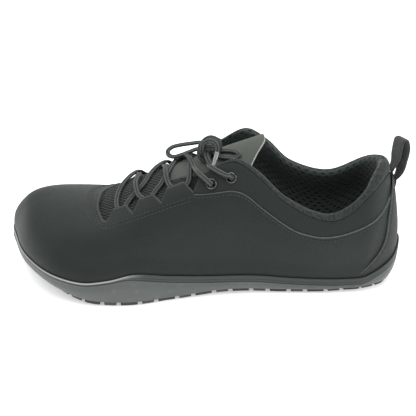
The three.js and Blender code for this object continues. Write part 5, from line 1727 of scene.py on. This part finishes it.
@dataclass
class Outsole:
    """The cup sole: bead and band at its lip, swelling side wall and tread."""

    last: Last
    pairs: int = 270
    bead: float = 1.5
    band: float = 4.4
    groove: float = 0.6
    bulge: float = 1.3
    toe_bulge: float = 0.9
    wall_foot: float = 0.1
    ball_rise: float = 0.8
    lug_length: float = 9.6
    lug_gap: float = 3.0
    lug_uneven: float = 1.6
    lug_width: float = 9.5
    set_back: float = 0.5
    stud_pitch: float = 17.5
    stud_length: float = 13.5
    stud_width: float = 16.0

    SWELL = ((0.0, 0.0), (0.04, 0.0), (0.35, 0.9), (0.7, 0.8), (0.92, 0.35), (1.0, 0.0))
    WALL = (0.02, 0.06, 0.12, 0.2, 0.3, 0.4, 0.5, 0.6, 0.7, 0.79, 0.87, 0.93, 0.97, 1.0)

    def places(self, pairs: int) -> Array:
        """Distances round the lip, paired on the two sides and closer at heel and toe."""
        last = self.last
        start = float(last.station(0.0)[0])
        turn = np.pi * np.arange(1, pairs) / pairs
        x = mix(start, last.length, (1 - np.cos(turn)) / 2)
        return np.concatenate([[0.0], last.around_at(LIP_X, x, True), [last.toe_around],
                               last.around_at(LIP_X, x, False)[::-1]])

    def bottom(self, around: Array, inset: Array | float) -> Array:
        """Points of the cup's bottom, some way in from its edge."""
        station, out = self.last.station(around), self.last.outward(around)
        point = station[..., :3] - out * (station[..., UNDER] + inset)[..., None]
        point[..., 2] = self.last.spring(point[..., 0]) + self.last.lug_height
        return point

    def build(self) -> None:
        """Makes cup and lugs as one piece, and the studs as a piece of their own."""
        piece = Shell.join([self.cup(), *self.lugs()]).build("outsole_dressed", [material_of(RUBBER)])
        settle(piece, "sole_rubber", "outsole")
        studs = StudField(self).build(material_of(RUBBER))
        settle(studs, "sole_rubber")

    def cup(self) -> Shell:
        """The cup with its lip, band, groove and side wall, closed above and below."""
        last = self.last
        around = self.places(self.pairs)
        station, out = last.station(around), last.outward(around)
        walk = Sections(last, around)
        lip = station[:, :3]
        wide = 1 - smooth(lip[:, 0] / last.length, 0.60, 0.68)
        bead = mix(self.bead, self.band, wide)

        def at(outwards: Any, below: Any) -> Array:
            """Points off the lip, outwards and below."""
            return lip + out * np.reshape(outwards, (-1, 1)) - UP * np.reshape(below, (-1, 1))

        bed = walk.low + out * (last.overlap + last.cup_gap)
        bed[:, 2] = last.bed(bed[:, 0])
        show = last.visible_lip(around)
        rows = [bed, mix(bed, at(-show, 1.0), 0.5), at(-show, 1.0), at(-0.95 * show, 0.35),
                at(-0.75 * show, 0.06), at(-0.45 * show, 0.0), at(-0.2 * show, 0.1),
                at(-0.04 * show, 0.35)]
        swell = 0.3 * (1 - wide)
        for share, dent in ((0.2, 0.0), (0.34, 0.0), (0.44, 0.0), (0.50, 0.05), (0.54, 0.30),
                            (0.58, 0.05), (0.64, 0.0), (0.78, 0.0), (0.9, 0.06)):
            rows.append(at(swell * math.sin(math.pi * share) - dent * wide, 0.4 + (bead - 0.4) * share))
        band_rows = len(rows)
        rows += [at(-0.15, bead), at(-0.45, bead + 0.1), at(-self.groove, bead + 0.3),
                 at(-0.95 * self.groove, bead + 0.5), at(-0.45 * self.groove, bead + 0.72),
                 at(-0.1 * self.groove, bead + 0.85)]
        start = at(0.0, bead + 1.0)
        toe = smooth(lip[:, 0] / last.length, 0.62, 0.85)[:, None]
        low_toe = toe * self.toe_bulge
        rise = UP * self.ball_rise * bell(lip[:, 0] - 0.74 * last.length, 0.13 * last.length)[:, None]
        bottom = self.bottom(around, 0.0) + rise - UP * self.wall_foot
        for share in self.WALL:
            full = float(curve_through(self.SWELL, share)[0])
            rows.append(mix(start, bottom, share) + out * (
                full * (self.bulge + low_toe) + low_toe * smooth(share, 0.1, 0.8)))
        rows += [self.bottom(around, inset) + rise - UP * down
                 for inset, down in ((0.3, self.wall_foot), (1.4, 0.9 * self.wall_foot), (2.6, 0.0))]
        points = np.stack(rows, axis=1)
        columns, count = points.shape[:2]
        faces = grid_faces(columns, count, round_columns=True)
        # The band mark darkens the lip's band behind the forefoot, and the groove under the bead all round
        # as painted shade.
        band = np.zeros((columns, count))
        band[:, 4:band_rows + 1] = wide[:, None]
        band[:, band_rows + 1:band_rows + 4] = 1.0
        # Painted highlight along the bead's top at the forefoot.
        bead_highlight = np.zeros((columns, count))
        bead_highlight[:, 5:11] = (1 - wide)[:, None] * [0.4, 0.8, 1.0, 1.0, 0.7, 0.3]
        # Painted shade at the foot of the side wall and on the bottom.
        tread = np.zeros((columns, count))
        tread[:, -4:] = [0.25, 0.7, 1.0, 1.0]
        filled = faces.tolist()
        half = columns // 2
        for row, flip in ((0, False), (count - 1, True)):
            for i in range(half):
                a, b = i * count + row, (i + 1) * count + row
                c, d = ((columns - i - 1) % columns) * count + row, ((columns - i) % columns) * count + row
                face = [a, b, c] if i == 0 else [a, b, d] if i == half - 1 else [a, b, c, d]
                filled.append(face if flip else face[::-1])
        return Shell(points.reshape(-1, 3), filled, None, None,
                     {"band": band.ravel(), "tread": tread.ravel(), "bead": bead_highlight.ravel()})

    def lugs(self) -> list[Shell]:
        """Edge lugs, flush with the side wall, with rounded edges."""
        last = self.last
        count = 2 * round(last.around / (self.lug_length + self.lug_gap) / 2)
        pitch = last.around / count
        ease = np.array([0.0, 0.06, 0.25, 1.2])
        shells = []
        for i in range(count):
            start = (i + 0.5) * pitch + (0.0 if i % 2 else self.lug_uneven)
            end = (i + 1.5) * pitch - self.lug_gap + (self.lug_uneven if i % 2 else 0.0)
            shares = np.concatenate([ease, np.linspace(0.25, 0.75, 5) * (end - start),
                                     (end - start) - ease[::-1]])
            shrink = np.concatenate([[0.6, 0.3, 0.05, 0.0], np.zeros(5), [0.0, 0.05, 0.3, 0.6]])
            around = start + shares
            reach = self.set_back + self.lug_width * (1.0 if i % 2 else 0.8)
            foot = last.spring(self.bottom(around, 0.0)[:, 0])
            profile = [(0.6, last.lug_height + 1.8), (0.0, last.lug_height + 0.2), (0.45, 1.0),
                       (0.9, 0.3), (1.4, 0.0), (reach - 0.7, 0.0), (reach - 0.2, 0.25),
                       (reach, 0.8), (reach, last.lug_height + 1.0)]
            rows = []
            for inset, height in profile:
                towards = np.where(inset < reach / 2, 1.0, -1.0) * shrink
                point = self.bottom(around, self.set_back + inset + towards)
                point[:, 2] = foot + np.maximum(height, shrink * (height < 1.0))
                rows.append(point)
            points = np.stack(rows, axis=1)
            # The lugs are darkened as painted shade, the wider ones more.
            tread = np.full(len(profile) * len(around), 0.95 if i % 2 else 0.6)
            shells.append(self._outwards(Shell(
                points.reshape(-1, 3), tube_faces(len(around), len(profile)), marks={"tread": tread})))
        return shells

    @staticmethod
    def _outwards(shell: Shell) -> Shell:
        """Turns a closed shell's faces outwards."""
        middle = shell.points.mean(axis=0)
        volume = 0.0
        for face in shell.faces:
            corners = shell.points[list(face)] - middle
            for a, b in zip(corners[1:-1], corners[2:]):
                volume += corners[0] @ np.cross(a, b)
        if volume < 0:
            shell.faces = [list(face)[::-1] for face in shell.faces]
        return shell


@dataclass
class StudField:
    """Block studs in rows between the edge lugs, placed by a node tree."""

    sole: Outsole
    margin: float = 3.0

    def seats(self) -> tuple[Array, Array, Array]:
        """Middle of each stud's foot, its size, and the slope of the tread there."""
        sole, last = self.sole, self.sole.last
        room = sole.set_back + sole.lug_width + self.margin
        half = sole.stud_length / 2
        first = math.ceil((room + half - last.heel_seat) / sole.stud_pitch)
        final = math.floor((last.length - room - half - last.heel_seat) / sole.stud_pitch)
        places, sizes, slopes = [], [], []
        for row in range(first, final + 1):
            x = last.heel_seat + row * sole.stud_pitch
            reach = {}
            for outer in (True, False):
                around = last.around_at(LIP_X, np.array([x - half, x + half]), outer)
                reach[outer] = np.abs(sole.bottom(around, room)[:, 1]).min()
            low, breadth = -reach[False], reach[False] + reach[True]
            odd = 1 if row % 2 == 0 else 0
            count = max(1, 2 * round((breadth / sole.stud_width - odd) / 2) + odd)
            pitch = (breadth + sole.lug_gap) / count
            ends = last.spring(np.array([x - half, x + half]))
            for i in range(count):
                places.append([x, low + (i + 0.5) * pitch - sole.lug_gap / 2, ends.mean()])
                sizes.append([sole.stud_length, pitch - sole.lug_gap, last.lug_height + 1.0])
                slopes.append(-math.atan2(ends[1] - ends[0], sole.stud_length))
        return np.array(places), np.array(sizes), np.array(slopes)

    def block(self) -> bpy.types.Object:
        """A block of unit size with bevelled edges, standing on its foot."""
        inset, levels = 0.045, ((0.0, 0.07), (0.07, 0.02), (0.2, 0.0), (1.0, 0.0))
        loops = []
        for height, shrink in levels:
            a, b = 0.5 - shrink, 0.5 - shrink - inset
            ring = [(a, -b), (a, b), (b, a), (-b, a), (-a, b), (-a, -b), (-b, -a), (b, -a)]
            loops.append([(x, y, height) for x, y in ring])
        return linked_mesh("stud_block", np.array(loops, float).reshape(-1, 3),
                           faces=tube_faces(len(levels), 8))

    def build(self, finish: bpy.types.Material) -> bpy.types.Object:
        """Lays the studs."""
        places, sizes, slopes = self.seats()
        piece = linked_mesh("tread_studs", to_frame(places))
        carry(piece.data, "size", sizes * MM)
        carry(piece.data, "turn", np.column_stack([0 * slopes, slopes, 0 * slopes]))
        block = self.block()
        run_tree(piece, block_tree(), {"Copy": block, "Finish": finish})
        bpy.data.objects.remove(block)
        return piece


def start_tree(name: str, **inputs: str) -> tuple[Graph, bpy.types.Node]:
    """Starts a geometry tree with a Geometry input and output and further named inputs."""
    tree = bpy.data.node_groups.new(name, "GeometryNodeTree")
    for label, kind in {"Geometry": "Geometry", **inputs}.items():
        tree.interface.new_socket(name=label, in_out="INPUT", socket_type=f"NodeSocket{kind}")
    tree.interface.new_socket(name="Geometry", in_out="OUTPUT", socket_type="NodeSocketGeometry")
    graph = Graph(tree)
    return graph, graph.add("NodeGroupInput")


def lay_copies(graph: Graph, given: bpy.types.Node, points: bpy.types.Node,
               **placing: Any) -> bpy.types.NodeTree:
    """Ends a geometry tree: copies of an object on points, made real and in their finish.

    Args:
        graph: The tree so far.
        given: Its inputs, with the object as Copy and the material as Finish.
        points: What the copies are laid on.
        placing: Rotation and scale of the copies.

    Returns:
        The finished tree.
    """
    copy = graph.add("GeometryNodeObjectInfo", Object=given.outputs["Copy"])
    laid = graph.add("GeometryNodeInstanceOnPoints", Points=points,
                     Instance=copy.outputs["Geometry"], **placing)
    real = graph.add("GeometryNodeRealizeInstances", Geometry=laid)
    graph.add("NodeGroupOutput", Geometry=graph.add(
        "GeometryNodeSetMaterial", Geometry=real, Material=given.outputs["Finish"]))
    return graph.tree


def block_tree() -> bpy.types.NodeTree:
    """Puts a block on each point, at the size and turn that the point carries."""
    graph, given = start_tree("lay_blocks", Copy="Object", Finish="Material")
    points = graph.add("GeometryNodeMeshToPoints", Mesh=given.outputs["Geometry"])
    turn = graph.add("FunctionNodeEulerToRotation", Euler=graph.vectors("turn"))
    return lay_copies(graph, given, points, Scale=graph.vectors("size"), Rotation=turn)


def stitch_tree() -> bpy.types.NodeTree:
    """Lays stitches along lines at a pitch, each turned with the line and off the surface."""
    graph, given = start_tree("sew_rows", Copy="Object", Pitch="Float", Finish="Material")
    curve = graph.add("GeometryNodeMeshToCurve", Mesh=given.outputs["Geometry"])
    even = graph.add("GeometryNodeResampleCurve", {"mode": "LENGTH"}, Curve=curve,
                     Length=given.outputs["Pitch"])
    ahead = graph.add("FunctionNodeAlignRotationToVector", {"axis": "X"},
                      Vector=graph.add("GeometryNodeInputTangent"))
    turned = graph.add("FunctionNodeAlignRotationToVector", {"axis": "Z", "pivot_axis": "X"},
                       Rotation=ahead, Vector=graph.vectors("off"))
    return lay_copies(graph, given, even, Rotation=turned)


def run_tree(piece: bpy.types.Object, tree: bpy.types.NodeTree, inputs: Setting) -> None:
    """Runs a geometry tree on a piece and keeps the result as a plain mesh.

    Args:
        piece: The object that it starts from.
        tree: The tree.
        inputs: Values for the tree's inputs by name.
    """
    modifier = piece.modifiers.new("tree", "NODES")
    modifier.node_group = tree
    sockets = {item.name: item.identifier for item in tree.interface.items_tree
               if item.in_out == "INPUT"}
    for name, value in inputs.items():
        modifier[sockets[name]] = value
    bake(piece)


@dataclass
class Insole:
    """The foot bed in the cup, a little crowned, under knit fabric."""

    last: Last
    sole: Outsole
    thickness: float = 3.0
    across: int = 28
    pairs: int = 110

    def build(self) -> None:
        """Makes the foot bed."""
        last = self.last
        around = self.sole.places(self.pairs)
        walk = Sections(last, around)
        ring = walk.low - walk.out * (last.leather + 0.5)
        outer, inner = ring[2:self.pairs - 1], ring[::-1][1:self.pairs - 2]
        share = (1 - np.cos(np.linspace(0, np.pi, self.across)))[None, :, None] / 2
        plan = mix(outer[:, None], inner[:, None], share)
        low = plan.copy()
        low[..., 2] = last.bed(plan[..., 0]) + last.clearance
        edge = np.minimum(share, 1 - share)[..., 0] * np.linalg.norm(outer - inner, axis=1)[:, None]
        high = low.copy()
        high[..., 2] += self.thickness - 1.2 * np.exp(-edge / 1.0) + 1.0 * np.exp(-((edge - 4) / 5) ** 2)
        shell = sheet_shell(high, low, (plan[..., 1], plan[..., 0]))
        settle(shell.build("insole_dressed", [material_of(BED_FABRIC)]), "lining_fabric", "insole")


@dataclass
class HeelCounter:
    """The leather overlay round the back of the heel, with a rounded cut edge."""

    last: Last
    leather: float = 1.3
    seat: float = 1.45
    top: float = 0.955
    foot: float = 0.2
    span: float = 96.0
    height: float = 60.0
    columns: int = 110
    rows: int = 80

    def up(self, walk: Sections, row: Array) -> Array:
        """The share of each section that a row has reached, from its foot to its top."""
        return mix(self.foot / walk.length, self.top, row)

    def reach(self, row: Array, outer: bool) -> Array:
        """How far round the shoe each row goes."""
        last = self.last

        def behind(around: Array) -> Array:
            """Whether the rows are still behind the front edge."""
            walk = Sections(last, around)
            point = walk.points(self.up(walk, row)[:, None])[:, 0]
            edge = curve_through(COUNTER_EDGE, point[:, 2] / last.instep_height)[:, 0]
            return point[:, 0] < edge * last.length

        heel = 0.0 if outer else last.around
        near, _ = halve(np.full(row.shape, heel), np.full(row.shape, (heel + last.toe_around) / 2),
                        behind, 24)
        return near if outer else near - last.around

    def grid(self, row: Array, share: Array, lift: Array) -> Array:
        """Points of a sheet over the heel, columns by rows."""
        inner, outer = self.reach(row, False), self.reach(row, True)
        around = mix(inner[None, :], outer[None, :], share[:, None])
        walk = Sections(self.last, around.ravel())
        up = self.up(walk, np.tile(row, len(share)))
        return walk.offset(up[:, None], lift.ravel()[:, None]).reshape(*around.shape, 3)

    def build(self) -> None:
        """Makes the overlay."""
        ease = np.array([0.0, 0.0012, 0.004, 0.009, 0.016])
        share = np.concatenate([ease, np.linspace(0.03, 0.97, self.columns), 1 - ease[::-1]])
        row = np.concatenate([np.linspace(0.0, 0.97, self.rows), 1 - 1.6 * ease[::-1]])
        side = np.minimum(share, 1 - share)[:, None] * self.span
        high = (1 - row)[None, :] * self.height
        near = np.minimum(side, high)
        round_off = np.sqrt(np.clip(1 - (1 - np.minimum(1, near / 0.9)) ** 2, 0, 1))
        trough = 0.18 * bell(side - 2.6, 0.5)
        lift = self.seat + self.leather * (0.25 + 0.75 * round_off) - trough
        front = self.grid(row, share, lift)
        back = self.grid(row, share, np.full(lift.shape, self.seat - 0.25))
        # The counter's cut edge takes the pale edge finish, with its painted highlight.
        finish = (near[:-1, :-1] < 0.45).astype(int)
        shell = sheet_shell(front, back, None, finish)
        shell.marks["to_edge"] = np.tile(near.ravel(), 2)
        piece = shell.build("heel_counter_dressed", [material_of(COUNTER_LEATHER), material_of(RAW_EDGE_AND_HIGHLIGHT)])
        settle(piece, "upper_leather", "heel_counter")


@dataclass
class PullLoop:
    """The strap of webbing from the outside of the heel over the top and back to the rim."""

    last: Last
    width: float = 11.0
    thickness: float = 1.4
    rise: float = 20.0
    seat: float = 3.6
    twist: float = 22.0
    squeeze: float = 0.58

    FEET = (0.73, 0.77, 0.81)
    BEND = ((-0.345, -0.275), (-0.395, -0.05), (-0.485, 0.225), (-0.565, 0.50), (-0.565, 0.775),
            (-0.415, 0.98), (-0.245, 0.95), (-0.165, 0.75), (-0.13, 0.475), (-0.10, 0.225),
            (-0.07, -0.13))

    def build(self) -> None:
        """Makes the strap: its foot lies round the heel, the loop is a little twisted."""
        last = self.last
        middle = Sections(last, [0.0])
        feet = middle.offset(np.array([self.FEET]), self.seat)[0]
        edge = middle.station[0, EDGE]
        bend = np.array(self.BEND)
        centre = bend[:, 0].mean()
        squeeze = mix(1.0, self.squeeze, smooth(bend[:, 1], -0.2, 0.3))
        bend[:, 0] = centre + (bend[:, 0] - centre) * squeeze
        free = [edge + [along * self.rise, 0.0, up * self.rise] for along, up in bend]
        path = rounded_path([*feet, *free], 0.6)
        share = np.linspace(-1, 1, 15)
        walked = distances(path)
        foot = path_length(feet)
        loose = smooth(walked, 0.7 * foot, foot + 7.0)
        free_end = smooth(walked[-1] - walked, 1.0, 12.0)
        twist = np.radians(self.twist) * smooth(walked, foot, foot + 13.0) * free_end
        across = np.column_stack([-np.sin(twist), np.cos(twist), np.zeros(len(path))])
        flat = path[:, None] + across[:, None] * (share * self.width / 2)[None, :, None]
        walk = Sections(last, np.mod(share * self.width / 2, last.around))
        up = np.interp(walked, [0.0, foot, foot + 12.0], [*self.FEET[::2], 0.9])
        lift = self.seat - 0.9 * (1 - smooth(walked, 0.0, 0.8 * foot))
        wrapped = np.swapaxes(walk.offset(np.tile(up, (len(share), 1)), lift), 0, 1)
        grid = mix(wrapped, flat, loose[:, None, None])
        normals = unit(np.cross(np.gradient(grid, axis=0), np.gradient(grid, axis=1)))
        thick = self.thickness / 2 * np.sqrt(np.clip(1 - np.abs(share) ** 12, 0.1, 1))
        shell = sheet_shell(grid + normals * thick[None, :, None], grid - normals * thick[None, :, None],
                            ((share * self.width / 2)[None, :], walked[:, None]))
        settle(shell.build("pull_loop_dressed", [material_of(WEBBING)]), "webbing", "pull_loop")


@dataclass
class Stitching:
    """All rows of stitches, sewn along lines by a node tree."""

    last: Last
    counter: HeelCounter
    pitch: float = 2.5
    length: float = 1.9
    width: float = 0.55

    def stitch(self) -> bpy.types.Object:
        """One stitch: a short thread that dips at both ends."""
        rings, sides = 5, 6
        x = np.linspace(-1, 1, rings)[:, None] * self.length / 2
        girth = np.sqrt(np.clip(1 - (x / (self.length / 2)) ** 2 * 0.92, 0, 1)) * self.width / 2
        turn = 2 * np.pi * np.arange(sides)[None, :] / sides
        points = np.stack([np.broadcast_to(x, (rings, sides)), girth * np.cos(turn),
                           girth * np.sin(turn) * 0.8 + 0.1], axis=-1)
        stitch = linked_mesh("stitch", points.reshape(-1, 3) * MM, faces=tube_faces(rings, sides))
        stitch.data.polygons.foreach_set("use_smooth", np.ones(len(stitch.data.polygons), bool))
        return stitch

    def rows(self) -> list[tuple[Array, Array]]:
        """Lines of the rows as points and directions off the surface."""
        last = self.last
        found = []

        def line(up: Array, walk: Sections, lift: Array | float) -> None:
            """Adds a row at shares of the sections."""
            lift = np.broadcast_to(lift, up.shape)[:, None]
            found.append((walk.offset(up[:, None], lift)[:, 0], walk.normals(up[:, None])[:, 0]))

        for outer in (True, False):
            walk = last.along_edge(np.linspace(0.075, 0.492, 220), outer)
            line(walk.seam_up - 2.3 / walk.length, walk, walk.layer(False) + 0.02)
            share = np.linspace(0.505, 0.7445 if outer else 0.728, 200)
            walk = last.along_edge(share, outer)
            deep = 1 - smooth(share, 0.700, 0.728)
            for near, far in ((2.2, 13.4), (4.6, 15.8)):
                line(1 - mix(near, far, deep) / walk.length, walk, walk.layer(True) + 0.02)
        around = np.linspace(last.around_at(EDGE_X, 0.744 * last.length, True)[0],
                             last.around_at(EDGE_X, 0.729 * last.length, False)[0], 60)
        walk = Sections(last, around)
        for near in (2.2, 4.6):
            line(1 - near / walk.length, walk, walk.layer(True) + 0.02)
        for shift in (-1.8, -4.4):
            up = np.linspace(0.06, 0.80, 80)
            walk = Sections(last, np.full(up.shape, last.inner_vamp_seam + shift))
            line(up, walk, walk.layer(False) + 0.02)
        row = np.linspace(0.03, 0.93, 90)
        for side, outer in ((2.6, True), (-2.6, False)):
            walk = Sections(last, self.counter.reach(row, outer) - side)
            line(self.counter.up(walk, row), walk, self.counter.seat + self.counter.leather - 0.12)
        return found

    def build(self) -> None:
        """Sews the rows."""
        rows = self.rows()
        points = np.vstack([row[0] for row in rows])
        off = np.vstack([row[1] for row in rows])
        edges, start = [], 0
        for line, _ in rows:
            edges += [(start + i, start + i + 1) for i in range(len(line) - 1)]
            start += len(line)
        piece = linked_mesh("stitching", to_frame(points), edges)
        carry(piece.data, "off", off)
        stitch = self.stitch()
        run_tree(piece, stitch_tree(), {"Copy": stitch, "Pitch": self.pitch * MM,
                                        "Finish": material_of(THREAD)})
        bpy.data.objects.remove(stitch)
        settle(piece, "upper_leather")


def main() -> None:
    """Builds the shoe piece by piece, camera and cords first."""
    logging.basicConfig(level=logging.INFO, format="%(name)s %(message)s")
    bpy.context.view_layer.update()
    last = Last()
    ViewPoint().build()
    bow = Bow(last)
    bow.build()
    tongue = Tongue(last)
    Lacing(last, tongue, bow).build()
    tongue.build()
    eyelets = Eyelets(last)
    eyelets.build()
    Upper(last, eyelets).build()
    sole = Outsole(last)
    sole.build()
    Insole(last, sole).build()
    counter = HeelCounter(last)
    counter.build()
    PullLoop(last).build()
    Stitching(last, counter).build()
    Studio().build()


if __name__ == "__main__":
    main()
